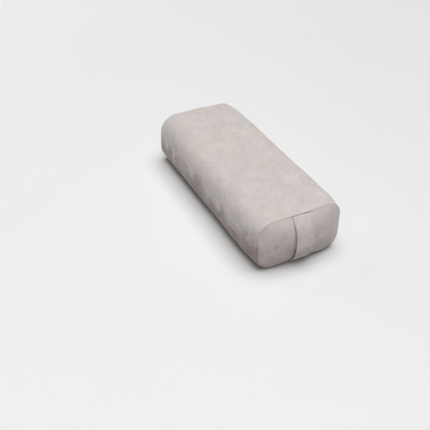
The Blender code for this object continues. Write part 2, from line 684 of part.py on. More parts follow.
def main():
    clear_scene()
    suede = finish("cover_suede", (0.60, 0.54, 0.52), 0.95)
    cotton = finish("liner_cotton", (0.80, 0.78, 0.72), 0.9)
    batting = finish("batting_fibre", (0.85, 0.85, 0.83), 1.0)
    foam = finish("core_foam", (0.83, 0.78, 0.62), 0.9)
    webbing = finish("strap_webbing", (0.50, 0.46, 0.44), 0.85)
    tape = finish("zip_tape", (0.52, 0.47, 0.45), 0.85)
    nylon = finish("zip_nylon", (0.48, 0.44, 0.42), 0.45)
    metal = finish("zip_metal", (0.62, 0.60, 0.58), 0.3, 1.0)

    make_cover_wrap(suede)
    for end, side in (("right", 1), ("left", -1)):
        make_end_panel("end_panel_" + end, side, suede)
        make_strap("handle_strap_" + end, side, suede)
        make_webbing("handle_webbing_" + end, side, webbing)
        make_liner_end("liner_end_" + end, side, cotton)
        make_batting_end("batting_end_" + end, side, batting)
    make_liner_wrap(cotton)
    make_batting_wrap(batting)
    make_foam_core(foam)

    make_coil("zip_coil_upper", 1, CHAIN_START_X, nylon)
    make_coil("zip_coil_lower", -1, CHAIN_START_X + ZIP_PITCH / 2, nylon)
    make_tape("zip_tape_upper", 1, tape)
    make_tape("zip_tape_lower", -1, tape)
    stop_inner = TAPE_INNER - STOP_WIDTH / 2
    stop_outer = TAPE_INNER + STOP_WIDTH / 2
    make_stop("zip_top_stop_upper", NOSE_STOP_X, stop_inner, stop_outer, ("high",), 1, metal)
    make_stop("zip_top_stop_lower", NOSE_STOP_X, stop_inner, stop_outer, ("high",), -1, metal)
    make_stop("zip_bottom_stop", TAIL_STOP_X, -stop_outer, stop_outer, ("high", "low"), 1, metal)
    slider = make_slider(metal)
    pull = make_pull(metal)

    frame = bpy.data.objects.new("bolster_frame", None)
    bpy.context.scene.collection.objects.link(frame)
    bpy.context.view_layer.update()
    for piece in bpy.context.scene.objects:
        if piece.type == "MESH" and piece is not pull:
            piece.parent = frame
    pull.parent = slider
    pull.matrix_parent_inverse = slider.matrix_world.inverted()


main()
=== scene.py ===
"""Dresses a packed yoga bolster: brushed suede cover, carrying straps, zip, filling and studio.

Metres, +Z up. The origin is the centre of the flat underside, +X runs along the length, and the
zip faces +Y.
"""

import math

import bmesh
import bpy
import numpy as np
from bpy.props import FloatProperty, FloatVectorProperty, PointerProperty
from mathutils import Euler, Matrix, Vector, noise


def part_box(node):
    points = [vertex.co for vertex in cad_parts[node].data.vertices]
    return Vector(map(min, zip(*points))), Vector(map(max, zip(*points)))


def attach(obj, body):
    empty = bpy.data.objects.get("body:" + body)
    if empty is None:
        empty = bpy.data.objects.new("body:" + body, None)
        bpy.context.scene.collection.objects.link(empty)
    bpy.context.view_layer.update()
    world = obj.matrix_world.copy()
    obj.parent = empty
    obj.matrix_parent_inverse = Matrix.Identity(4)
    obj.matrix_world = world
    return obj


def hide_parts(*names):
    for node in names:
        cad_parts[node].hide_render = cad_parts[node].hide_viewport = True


bl_info = {
    "name": "Yoga Bolster",
    "version": (1, 0, 0),
    "blender": (4, 5, 0),
    "location": "View3D > Sidebar > Bolster",
    "description": "Dresses a packed yoga bolster in suede, straps, stitching, zip and filling",
    "category": "Add Mesh",
}

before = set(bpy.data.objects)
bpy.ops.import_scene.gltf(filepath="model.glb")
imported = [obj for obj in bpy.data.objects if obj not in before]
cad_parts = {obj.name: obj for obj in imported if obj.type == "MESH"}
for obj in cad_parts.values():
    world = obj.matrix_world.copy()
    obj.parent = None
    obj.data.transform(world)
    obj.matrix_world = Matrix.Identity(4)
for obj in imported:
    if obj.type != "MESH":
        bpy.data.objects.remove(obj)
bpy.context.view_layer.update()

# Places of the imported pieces
WRAP_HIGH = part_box("cover_wrap")[1]
SLIDER_LOW, SLIDER_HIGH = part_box("zip_slider")
SEAM_X = WRAP_HIGH.x
BACK_Y = WRAP_HIGH.y
TOP_Z = WRAP_HIGH.z
DOME_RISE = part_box("end_panel_right")[1].x - SEAM_X
ZIP_Z = (SLIDER_LOW.z + SLIDER_HIGH.z) / 2
STRAP_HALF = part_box("handle_strap_right")[1].y
ENDS = (("right", 1), ("left", -1))

# Edges of hard pieces sharper than this stay sharp in the shading
CREASE_ANGLE = math.radians(50)

# The filled-out cover, kept for the operators that need it
kept = {}


# Sizes and colours that a user would change


def length_setting(name, words, default):
    return FloatProperty(name=name, description=words, default=default, unit="LENGTH")


def colour_setting(name, words, default):
    return FloatVectorProperty(name=name, description=words, default=default, subtype="COLOR")


class BolsterForm(bpy.types.PropertyGroup):
    lower_radius: length_setting("Lower radius", "Rounding of the two lower long edges", 0.036)
    front_radius: length_setting("Front radius", "Rounding of the upper edge away from the zip", 0.038)
    back_radius: length_setting("Back radius", "Rounding of the upper edge above the zip", 0.029)
    far_slack: length_setting("Far slack", "Extra rounding of the upper edges towards the -X end", 0.004)
    far_fill: length_setting("Far fill", "Extra filling short of the -X end", 0.003)
    near_fill: length_setting("Near fill", "Extra filling short of the +X end", 0.003)
    front_slack: length_setting(
        "Front slack", "Rounding that the upper front edge loses towards the +X end", 0.005
    )
    crown: length_setting("Crown", "Rise of the top along its middle", 0.002)
    back_fill: length_setting("Back fill", "Extra filling along the top's back edge", 0.0018)
    strap_pull: length_setting("Strap pull", "How far the strap at the +X end pulls its seam down", 0.0014)
    flat_top: length_setting("Flat top", "Half width of the top before it falls away", 0.022)
    side_swell: length_setting("Side swell", "How far the long sides swell at the middle", 0.003)
    top_swell: length_setting("Top swell", "How far the top drops towards the ends", 0.002)
    dome_fullness: FloatProperty(
        name="Dome fullness", description="Power of the end panels' dome", default=2.6
    )
    cell: length_setting("Cloth cell", "Size of the cover's mesh cells", 0.0042)
    slack: length_setting("Slack", "How much smaller the cover is cut than its filling", 0.002)
    swelling: FloatProperty(
        name="Swelling", description="Share of the simulated swelling that the firm core lets through",
        default=0.09, subtype="FACTOR",
    )
    pressure: FloatProperty(
        name="Filling pressure", description="How hard the filling pushes the cover out", default=4.0
    )
    give: length_setting("Give", "The furthest a point of the cover may move", 0.003)


class BolsterSewing(bpy.types.PropertyGroup):
    cloth: length_setting("Cloth", "Thickness of the suede with its backing", 0.0009)
    fold_radius: length_setting("Fold radius", "Rounding where the cloth turns into a seam", 0.0013)
    hem: length_setting("Hem", "Width of the cloth turned inside", 0.009)
    pucker: length_setting("Pucker", "Depth of the puckers beside the end seams", 0.0007)
    pucker_reach: length_setting("Pucker reach", "How far a pucker runs from its seam", 0.014)
    pucker_width: length_setting("Pucker width", "Usual width of a pucker", 0.013)
    dimple: length_setting("Dimple", "Depth of the filling's soft unevenness", 0.0008)
    stitch: length_setting("Stitch", "Length of a stitch that shows", 0.0026)
    stitch_gap: length_setting("Stitch gap", "Distance between two stitches", 0.0009)
    thread: length_setting("Thread", "Thickness of the sewing thread", 0.00045)


class BolsterStrap(bpy.types.PropertyGroup):
    thickness: length_setting("Thickness", "Thickness of the filled strap", 0.0032)
    squeezed: FloatProperty(
        name="Squeezed", description="Share of the thickness left where the strap is sewn in", default=0.7,
        subtype="FACTOR",
    )
    wall: length_setting("Wall", "Thickness of the strap's suede", 0.0008)
    webbing: length_setting("Webbing", "Thickness of the tape inside the strap", 0.0010)
    hand_gap: length_setting("Hand gap", "Room between the strap and the end", 0.0052)
    land: FloatProperty(
        name="Landing", description="Share of the half height where the strap meets the end", default=0.88,
        subtype="FACTOR",
    )
    tail: length_setting("Tail", "Length sewn in behind the seam", 0.010)
    inset: length_setting("Inset", "Depth of the strap's middle below the cover at the seam", 0.0036)
    roll: length_setting("Roll", "How far the strap rolls up where it leaves the seam", 0.0012)
    crease: length_setting("Crease", "Depth of the creases along the strap", 0.0005)
    stitch_inset: length_setting("Stitch inset", "Distance of the topstitching from the edges", 0.0034)


class BolsterZip(bpy.types.PropertyGroup):
    opening: length_setting("Opening", "Length of the opening in the cover", 0.376)
    lip_clearance: length_setting("Lip clearance", "Room between the slider and each lip", 0.0005)
    tape_depth: length_setting("Tape depth", "Depth of the tape's face behind the cover", 0.0020)
    topstitch: length_setting("Topstitch", "Distance of the topstitching from the opening", 0.0050)
    edge: length_setting("Edge", "Rounding of the metal pieces' edges", 0.00018)


class BolsterFilling(bpy.types.PropertyGroup):
    case_inset: length_setting("Case inset", "Depth of the cotton case below the cover", 0.0062)
    core_inset: length_setting("Core inset", "Depth of the foam below the cover", 0.0148)


class BolsterLooks(bpy.types.PropertyGroup):
    suede: colour_setting("Suede", "Colour of the nap lying flat", (0.62, 0.565, 0.545))
    suede_warm: colour_setting(
        "Warm suede", "Colour of the nap where it is yellower", (0.612, 0.565, 0.535)
    )
    # Painted shade: a darker, pinker suede colour mixed in low on the sides and ends, broken into streaks of
    # brushed nap
    suede_painted_shade: colour_setting(
        "Brushed suede", "Colour of the nap brushed the other way", (0.268, 0.212, 0.191)
    )
    thread: colour_setting("Thread", "Colour of the thread", (0.55, 0.50, 0.48))
    zip_nylon: colour_setting("Zip nylon", "Colour of the zip's teeth", (0.50, 0.455, 0.44))
    metal: colour_setting("Metal", "Colour of the slider, pull and stops", (0.62, 0.61, 0.60))
    cotton: colour_setting("Cotton", "Colour of the inner case", (0.82, 0.80, 0.75))
    batting: colour_setting("Batting", "Colour of the batting", (0.86, 0.86, 0.85))
    foam: colour_setting("Foam", "Colour of the core", (0.84, 0.79, 0.63))


class BolsterStudio(bpy.types.PropertyGroup):
    camera_place: FloatVectorProperty(
        name="Camera place", description="Where the camera stands", default=(1.222, -0.707, 1.016),
        subtype="XYZ", unit="LENGTH",
    )
    camera_turn: FloatVectorProperty(
        name="Camera turn", description="The camera's pitch, roll and heading",
        default=(math.radians(53.013), math.radians(-0.770), math.radians(62.988)), subtype="EULER",
    )
    lens: FloatProperty(name="Lens", description="Focal length in millimetres", default=64.5)
    floor: colour_setting("Floor", "Colour of the floor", (0.80, 0.80, 0.80))
    floor_half: length_setting("Floor half", "Half the floor's width", 40.0)
    overhead: FloatProperty(name="Overhead light", description="Strength of the light above", default=2.75)
    overhead_width: FloatProperty(
        name="Overhead width", description="How wide the light above looks from the bolster",
        default=math.radians(52), subtype="ANGLE", unit="ROTATION",
    )
    overhead_from: FloatVectorProperty(
        name="Overhead from", description="Direction towards the light above", default=(0.0, 0.1, 1.0),
        subtype="XYZ",
    )
    far_power: FloatProperty(
        name="Far light", description="Strength of the light beyond the -X end", default=7.0, unit="POWER"
    )
    far_place: FloatVectorProperty(
        name="Far place", description="Where the light beyond the -X end stands", default=(-2.0, -0.8, 1.8),
        subtype="XYZ", unit="LENGTH",
    )
    far_size: length_setting("Far size", "Width of the light beyond the -X end", 1.6)
    near_power: FloatProperty(
        name="Near light", description="Strength of the light by the +X end", default=11.5, unit="POWER"
    )
    near_place: FloatVectorProperty(
        name="Near place", description="Where the light by the +X end stands", default=(1.7, -1.0, 2.0),
        subtype="XYZ", unit="LENGTH",
    )
    near_size: length_setting("Near size", "Width of the light by the +X end", 1.4)
    room: FloatProperty(name="Room light", description="Brightness of the room above", default=0.03)
    walls: FloatProperty(name="Walls", description="Brightness of the room near the floor", default=0.60)


GROUPS = {
    "bolster_form": BolsterForm,
    "bolster_sewing": BolsterSewing,
    "bolster_strap": BolsterStrap,
    "bolster_zip": BolsterZip,
    "bolster_filling": BolsterFilling,
    "bolster_looks": BolsterLooks,
    "bolster_studio": BolsterStudio,
}


# Arithmetic on grids of points


def smoothstep(low, high, value):
    share = np.clip((value - low) / (high - low), 0.0, 1.0)
    return share * share * (3 - 2 * share)


def wave(points, size, seed):
    """Smooth noise from -1 to 1 at each point, with features of about the given size in metres."""
    flat = (np.asarray(points) / np.asarray(size)).reshape(-1, 3) + 7.3 * seed
    values = np.array([noise.noise(Vector(point)) for point in flat])
    return values.reshape(np.shape(points)[:-1])


def unit(vectors):
    return vectors / np.maximum(np.linalg.norm(vectors, axis=-1, keepdims=True), 1e-12)


def run_along(line):
    """The distance along a line of points at each of them."""
    return np.concatenate([[0], np.cumsum(np.linalg.norm(np.diff(line, axis=0), axis=1))])


def grid_normals(grid, closed):
    """Normals of a grid of points, which may close on itself along its second axis."""
    down = np.gradient(grid, axis=0)
    if closed:
        across = np.roll(grid, -1, axis=1) - np.roll(grid, 1, axis=1)
    else:
        across = np.gradient(grid, axis=1)
    return unit(np.cross(across, down))


def strip_faces(rows, count):
    """Quads between closed rows of vertex numbers, each row of the given count."""
    faces = []
    for here, there in zip(rows, rows[1:]):
        for i in range(count):
            k = (i + 1) % count
            faces.append((here[i], here[k], there[k], there[i]))
    return faces


# Meshes from points


def mesh_from(name, points, faces):
    data = bpy.data.meshes.new(name)
    data.from_pydata([tuple(point) for point in points], [], [tuple(map(int, face)) for face in faces])
    data.validate()
    return data


def face_outwards(data):
    mesh = bmesh.new()
    mesh.from_mesh(data)
    bmesh.ops.recalc_face_normals(mesh, faces=mesh.faces)
    mesh.to_mesh(data)
    mesh.free()


def ring_rows(rings):
    count = len(rings[0])
    return list(np.arange(len(rings) * count).reshape(-1, count))


def capped_rings(name, rings):
    """A closed body from rings of points, with a face over its first and its last ring."""
    rows = ring_rows(rings)
    faces = strip_faces(rows, len(rings[0])) + [tuple(rows[0][::-1]), tuple(rows[-1])]
    data = mesh_from(name, np.vstack(rings), faces)
    face_outwards(data)
    return data


def hollow_tube(name, outer, inner):
    """A tube with a wall, from its outer rings and its inner ones."""
    rings = outer + inner[::-1]
    rows = ring_rows(rings)
    data = mesh_from(name, np.vstack(rings), strip_faces(rows + rows[:1], len(rings[0])))
    face_outwards(data)
    return data


# Form of the filled cover


class Skin:
    """The cover as grids: rings of the wrap along X, and a patch for each end."""

    def __init__(self, form, opening, slot_half):
        self.form = form
        self.slot_x = opening / 2
        self.slot_half = slot_half
        self.shoulder = TOP_Z - form.crown
        self.end_half = BACK_Y - form.side_swell
        straight_past_slot = 0.011
        self.straight_x = self.slot_x + straight_past_slot
        width = 2 * BACK_Y - (1 - math.pi / 4) * (form.front_radius + form.back_radius)
        self.across = 2 * round(width / form.cell / 2)
        beside_slot = ZIP_Z - slot_half - (1 - math.pi / 4) * form.lower_radius
        self.beside_slot = round(beside_slot / form.cell)
        self.up = 2 * self.beside_slot + 3
        along_slot = np.linspace(0, self.slot_x, round(self.slot_x / form.cell) + 1)
        past_slot = np.linspace(self.slot_x, SEAM_X, round((SEAM_X - self.slot_x) / form.cell) + 1)[1:]
        outward = np.concatenate([along_slot, past_slot])
        self.stations = np.concatenate([-outward[:0:-1], outward])
        self.wrap = np.array([self.ring(x) for x in self.stations])
        self.ends = {side: self.end_grid(side) for _, side in ENDS}

    def ring(self, x):
        """The outline at x, anticlockwise seen from +X, from the middle of the lower front corner."""
        form = self.form
        near_start = 0.05
        far = float(smoothstep(0.0, SEAM_X, -x))
        near = float(smoothstep(near_start, SEAM_X, x))
        low = form.lower_radius
        front_high = form.front_radius - form.front_slack * near + 0.3 * form.far_slack * far
        back_high = form.back_radius + form.far_slack * far
        front = self.end_half + form.side_swell * (1 - (x / SEAM_X) ** 2) + form.near_fill * self.fullness(x)
        back = BACK_Y - form.side_swell * float(smoothstep(self.straight_x, SEAM_X, abs(x)))
        top = self.shoulder - form.top_swell * (x / SEAM_X) ** 2 + form.far_fill * self.fullness(-x)
        corners = (
            (low - front, low, low),
            (back - low, low, low),
            (back - back_high, top - back_high, back_high),
            (front_high - front, top - front_high, front_high),
        )
        arc = np.linspace(0, math.pi / 4, 12)
        outline = []
        for side in range(4):
            path = []
            for k in (0, 1):
                y, z, radius = corners[(side + k) % 4]
                turn = math.radians(225 + 90 * side + 45 * k) + arc
                path += [(y + radius * math.cos(a), z + radius * math.sin(a)) for a in turn]
            path = np.array(path)
            run = run_along(path)
            shares = self.shares(side, run[-1])
            outline.append(np.column_stack([np.interp(shares, run, path[:, k]) for k in (0, 1)]))
        y, z = np.vstack(outline).T
        lift = self.lift(x, y, z, top, np.where(y > 0, back, front))
        return np.column_stack([np.full_like(y, x), y, z + lift])

    def lift(self, x, y, z, top, half_width):
        """How far the filling lifts the upper part of the outline at x, less what the strap pulls down."""
        form = self.form
        back_start, back_full, pull_start, pull_half = 0.02, 0.075, SEAM_X - 0.06, 0.03
        off_flat = np.maximum(np.abs(y) - form.flat_top, 0) / (half_width - form.flat_top)
        height_share = np.maximum((z - top / 2) / (top / 2), 0)
        upper = smoothstep(0.4, 1.0, height_share)
        crown = form.crown * (1 - off_flat**2) * height_share
        off_far = 1 - float(smoothstep(0.0, SEAM_X, -x))
        back_lift = form.back_fill * off_far + form.near_fill * self.fullness(x)
        back = back_lift * smoothstep(back_start, back_full, y) * upper
        near_seam = float(smoothstep(pull_start, SEAM_X, x))
        pull = form.strap_pull * near_seam * np.exp(-((y / pull_half) ** 2)) * upper
        return crown + back - pull

    def fullness(self, x):
        """The share of an end's extra filling at x, none at the middle and none at the end's seam."""
        start, full, fade = 0.03, 0.14, 0.045
        return float(smoothstep(start, full, x) * (1 - smoothstep(SEAM_X - fade, SEAM_X, x)))

    def shares(self, side, length):
        """Distances along one side of the outline where the rings have points, the last one left out."""
        if side != 1:
            count = self.up if side == 3 else self.across
            return np.linspace(0, length, count + 1)[:-1]
        corner = math.pi / 4 * self.form.lower_radius
        middle = corner + ZIP_Z - self.form.lower_radius
        below, above = middle - self.slot_half, middle + self.slot_half
        low = np.linspace(0, below, self.beside_slot + 1)
        slot = np.linspace(below, above, 4)[1:]
        high = np.linspace(above, length, self.beside_slot + 1)[1:]
        return np.concatenate([low, slot, high])[:-1]

    def rim(self, side):
        """The wrap's last ring at one end."""
        return self.wrap[-1 if side > 0 else 0]

    def rim_index(self, u, v):
        """The number of the ring's point that a border point of an end's grid shares."""
        total = 2 * (self.across + self.up)
        if v == 0:
            return u
        if u == self.across:
            return self.across + v
        if v == self.up:
            return 2 * self.across + self.up - u
        return total - v

    def border(self):
        """Each border point of an end's grid: its row, its column and its number on the rim."""
        for u in range(self.across + 1):
            for v in range(self.up + 1):
                if u in (0, self.across) or v in (0, self.up):
                    yield u, v, self.rim_index(u, v)

    def numbered(self, first, rim_numbers):
        """Vertex numbers for an end's grid: from the first on inside it, and the rim's on its border."""
        inside = (self.across - 1, self.up - 1)
        number = np.zeros((self.across + 1, self.up + 1), int)
        number[1:-1, 1:-1] = first + np.arange(inside[0] * inside[1]).reshape(inside)
        for u, v, k in self.border():
            number[u, v] = rim_numbers[k]
        return number

    def end_grid(self, side):
        """A patch of points over one end, domed, whose border is the wrap's last ring."""
        rim = self.rim(side)
        rows, columns = self.across + 1, self.up + 1
        lower = np.array([rim[self.rim_index(u, 0)] for u in range(rows)])
        upper = np.array([rim[self.rim_index(u, self.up)] for u in range(rows)])
        left = np.array([rim[self.rim_index(0, v)] for v in range(columns)])
        right = np.array([rim[self.rim_index(self.across, v)] for v in range(columns)])
        s = np.linspace(0, 1, rows)[:, None, None]
        t = np.linspace(0, 1, columns)[None, :, None]
        grid = (1 - t) * lower[:, None] + t * upper[:, None] + (1 - s) * left[None] + s * right[None]
        grid -= (1 - s) * (1 - t) * lower[0] + s * (1 - t) * lower[-1]
        grid -= (1 - s) * t * upper[0] + s * t * upper[-1]
        share, _ = self.polar(grid, rim)
        grid[..., 0] = side * (SEAM_X + DOME_RISE * (1 - share**self.form.dome_fullness))
        return grid

    def polar(self, grid, rim):
        """For points of an end: their share of the way out to the rim, and the rim's point number there."""
        middle = (rim[:, 2].min() + rim[:, 2].max()) / 2
        rim_angle = np.arctan2(rim[:, 2] - middle, rim[:, 1])
        rim_reach = np.hypot(rim[:, 2] - middle, rim[:, 1])
        order = np.argsort(rim_angle)
        angle = np.arctan2(grid[..., 2] - middle, grid[..., 1])
        reach = np.interp(angle, rim_angle[order], rim_reach[order], period=2 * math.pi)
        share = np.minimum(np.hypot(grid[..., 2] - middle, grid[..., 1]) / reach, 1.0)
        nearest = np.abs(np.angle(np.exp(1j * (angle[..., None] - rim_angle)))).argmin(axis=-1)
        return share, nearest

    def off_seam(self, grid, rim):
        """For points of an end: their distance from the seam, and the rim's point number there."""
        share, nearest = self.polar(grid, rim)
        return (1 - share) * np.hypot(rim[nearest][..., 1], rim[nearest][..., 2] - TOP_Z / 2), nearest

    def joined(self):
        """One closed mesh of the wrap and both ends: points, faces and each end's vertex numbers."""
        rings, count = self.wrap.shape[:2]
        points = [self.wrap.reshape(-1, 3)]
        rows = np.arange(rings * count).reshape(rings, count)
        faces = strip_faces(rows, count)
        numbers = {}
        used = rings * count
        for _, side in ENDS:
            inner = self.ends[side][1:-1, 1:-1].reshape(-1, 3)
            numbers[side] = self.numbered(used, rows[-1] if side > 0 else rows[0])
            points.append(inner)
            used += len(inner)
            faces += end_faces(numbers[side], side)
        return np.vstack(points), faces, numbers

    def take(self, points, numbers):
        """Puts the points of the joined mesh back into the grids."""
        self.wrap = points[: self.wrap.shape[0] * self.wrap.shape[1]].reshape(self.wrap.shape)
        self.ends = {side: points[number] for side, number in numbers.items()}


def end_faces(number, side):
    faces = []
    for u in range(number.shape[0] - 1):
        for v in range(number.shape[1] - 1):
            face = (number[u, v], number[u + 1, v], number[u + 1, v + 1], number[u, v + 1])
            faces.append(face if side > 0 else face[::-1])
    return faces


def zip_hold(points, skin):
    """How firmly each point is held by the zip: 1 along it, and 0 away from it."""
    end_fade, held_half, free_half = 0.012, 0.017, 0.030
    beside_ends = 1 - smoothstep(skin.straight_x, skin.straight_x + end_fade, np.abs(points[..., 0]))
    near_zip = 1 - smoothstep(held_half, free_half, np.abs(points[..., 2] - ZIP_Z))
    return beside_ends * near_zip * (points[..., 1] > 0.8 * BACK_Y)


def placed(name, data):
    """A new object in the scene that shows the given data."""
    made = bpy.data.objects.new(name, data)
    bpy.context.scene.collection.objects.link(made)
    return made


def blown_up(points, faces, held, form):
    """Runs a cloth simulation with pressure inside and returns where the points end."""
    data = mesh_from("filling_cover", points, faces)
    cover = placed("filling_cover", data)
    group = cover.vertex_groups.new(name="held")
    for i in np.nonzero(held > 0.01)[0]:
        group.add([int(i)], float(held[i]), "REPLACE")
    cloth = cover.modifiers.new("Cloth", "CLOTH")
    settings = cloth.settings
    settings.quality = 5
    settings.mass = 0.3
    settings.tension_stiffness = 15
    settings.compression_stiffness = 15
    settings.shear_stiffness = 5
    settings.bending_stiffness = 0.5
    settings.use_pressure = True
    settings.uniform_pressure_force = form.pressure
    settings.effector_weights.gravity = 0
    settings.vertex_group_mass = "held"
    cloth.collision_settings.use_collision = False
    scene = bpy.context.scene
    frames = 20
    for step in range(1, frames + 1):
        scene.frame_set(step)
    swollen = cover.evaluated_get(bpy.context.evaluated_depsgraph_get()).data
    moved = np.zeros(len(swollen.vertices) * 3, np.float32)
    swollen.vertices.foreach_get("co", moved)
    scene.frame_set(1)
    bpy.data.objects.remove(cover)
    bpy.data.meshes.remove(data)
    return moved.reshape(-1, 3).astype(float)


def fill_out(skin):
    """Swells the cover from a slightly smaller shape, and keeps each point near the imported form."""
    form = skin.form
    points, faces, numbers = skin.joined()
    normals = np.zeros_like(points)
    corners = points[np.array(faces)]
    face_normals = np.cross(corners[:, 2] - corners[:, 0], corners[:, 3] - corners[:, 1])
    for k in range(4):
        np.add.at(normals, np.array(faces)[:, k], face_normals)
    normals = unit(normals)
    held = zip_hold(points, skin)
    start = points - normals * (form.slack * (1 - held))[:, None]
    moved = (blown_up(start, faces, held, form) - points) * form.swelling
    length = np.maximum(np.linalg.norm(moved, axis=1, keepdims=True), 1e-9)
    moved *= form.give * np.tanh(length / form.give) / length * (1 - held)[:, None]
    points = points + moved
    points[:, 2] = np.maximum(points[:, 2], 0.0)
    skin.take(points, numbers)


def add_relief(skin, sewing):
    """Puckers beside the end seams and the soft unevenness of the filling."""
    wrap_swell, end_swell, end_drape, seam_fade = (0.13, 0.08, 0.08), 0.045, (0.05, 0.013, 0.07), 0.012
    free = 1 - zip_hold(skin.wrap, skin)
    rim_waves = {}
    for _, side in ENDS:
        rim = skin.rim(side)
        broad = wave(rim, sewing.pucker_width, 3 + side)
        rim_waves[side] = broad + 0.5 * wave(rim, sewing.pucker_width / 2.3, 5 + side)
    outward = grid_normals(skin.wrap, True)
    from_seam = SEAM_X - np.abs(skin.wrap[..., 0])
    fade = np.exp(-from_seam / sewing.pucker_reach)
    towards = np.where(skin.wrap[..., :1] > 0, rim_waves[1][None, :, None], rim_waves[-1][None, :, None])
    dents = sewing.pucker * fade[..., None] * towards
    swells = sewing.dimple * wave(skin.wrap, wrap_swell, 11)[..., None]
    skin.wrap = skin.wrap + outward * (dents + swells) * free[..., None]
    skin.wrap[..., 2] = np.maximum(skin.wrap[..., 2], 0.0)
    for _, side in ENDS:
        grid, rim = skin.ends[side], skin.rim(side)
        outward = grid_normals(grid, False)
        outward = outward * np.sign(outward[..., :1]) * side
        from_seam, nearest = skin.off_seam(grid, rim)
        dents = sewing.pucker * np.exp(-from_seam / sewing.pucker_reach) * rim_waves[side][nearest]
        drape = 0.6 * sewing.dimple * wave(grid, end_drape, 17 + side)
        swells = 1.3 * sewing.dimple * wave(grid, end_swell, 23 + side)
        relief = dents + (drape + swells) * smoothstep(0, seam_fade, from_seam)
        skin.ends[side] = grid + outward * relief[..., None]
        for u, v, k in skin.border():
            skin.ends[side][u, v] = rim[k]
        skin.ends[side][..., 2] = np.maximum(skin.ends[side][..., 2], 0.0)


def inward_at(ring):
    """Directions into the body at each point of a ring, square to its outline."""
    along = np.roll(ring, -1, axis=0) - np.roll(ring, 1, axis=0)
    return unit(np.column_stack([np.zeros(len(ring)), -along[:, 2], along[:, 1]]))


# Putting pieces in the scene


def add_piece(name, data, material, body, replaced=()):
    """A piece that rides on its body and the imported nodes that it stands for."""
    data.materials.append(material)
    data.shade_smooth()
    piece = placed(name, data)
    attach(piece, body)
    if replaced:
        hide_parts(*replaced)
    return piece


def thicken(piece, thickness):
    """Gives a sheet its thickness inwards, and rounds its facets."""
    wall = piece.modifiers.new("Cloth thickness", "SOLIDIFY")
    wall.thickness = thickness
    wall.offset = -1
    smooth_over(piece)


def smooth_over(piece):
    rounding = piece.modifiers.new("Soft surface", "SUBSURF")
    rounding.levels = 1
    rounding.render_levels = 1


def softened(node, name, width, material, body):
    """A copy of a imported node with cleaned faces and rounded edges, which stands for it."""
    mesh = bmesh.new()
    mesh.from_mesh(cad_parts[node].data)
    bmesh.ops.remove_doubles(mesh, verts=mesh.verts, dist=1e-6)
    bmesh.ops.dissolve_limit(
        mesh, angle_limit=math.radians(1), verts=mesh.verts, edges=mesh.edges, delimit={"NORMAL"}
    )
    bent = 0.5
    sharp = [edge for edge in mesh.edges if len(edge.link_faces) == 2 and edge.calc_face_angle() > bent]
    bmesh.ops.bevel(
        mesh, geom=sharp, offset=width, offset_type="OFFSET", segments=2, profile=0.6,
        affect="EDGES", clamp_overlap=True,
    )
    data = bpy.data.meshes.new(name)
    mesh.to_mesh(data)
    mesh.free()
    add_piece(name, data, material, body, [node])
    data.set_sharp_from_angle(angle=CREASE_ANGLE)


# Finishes


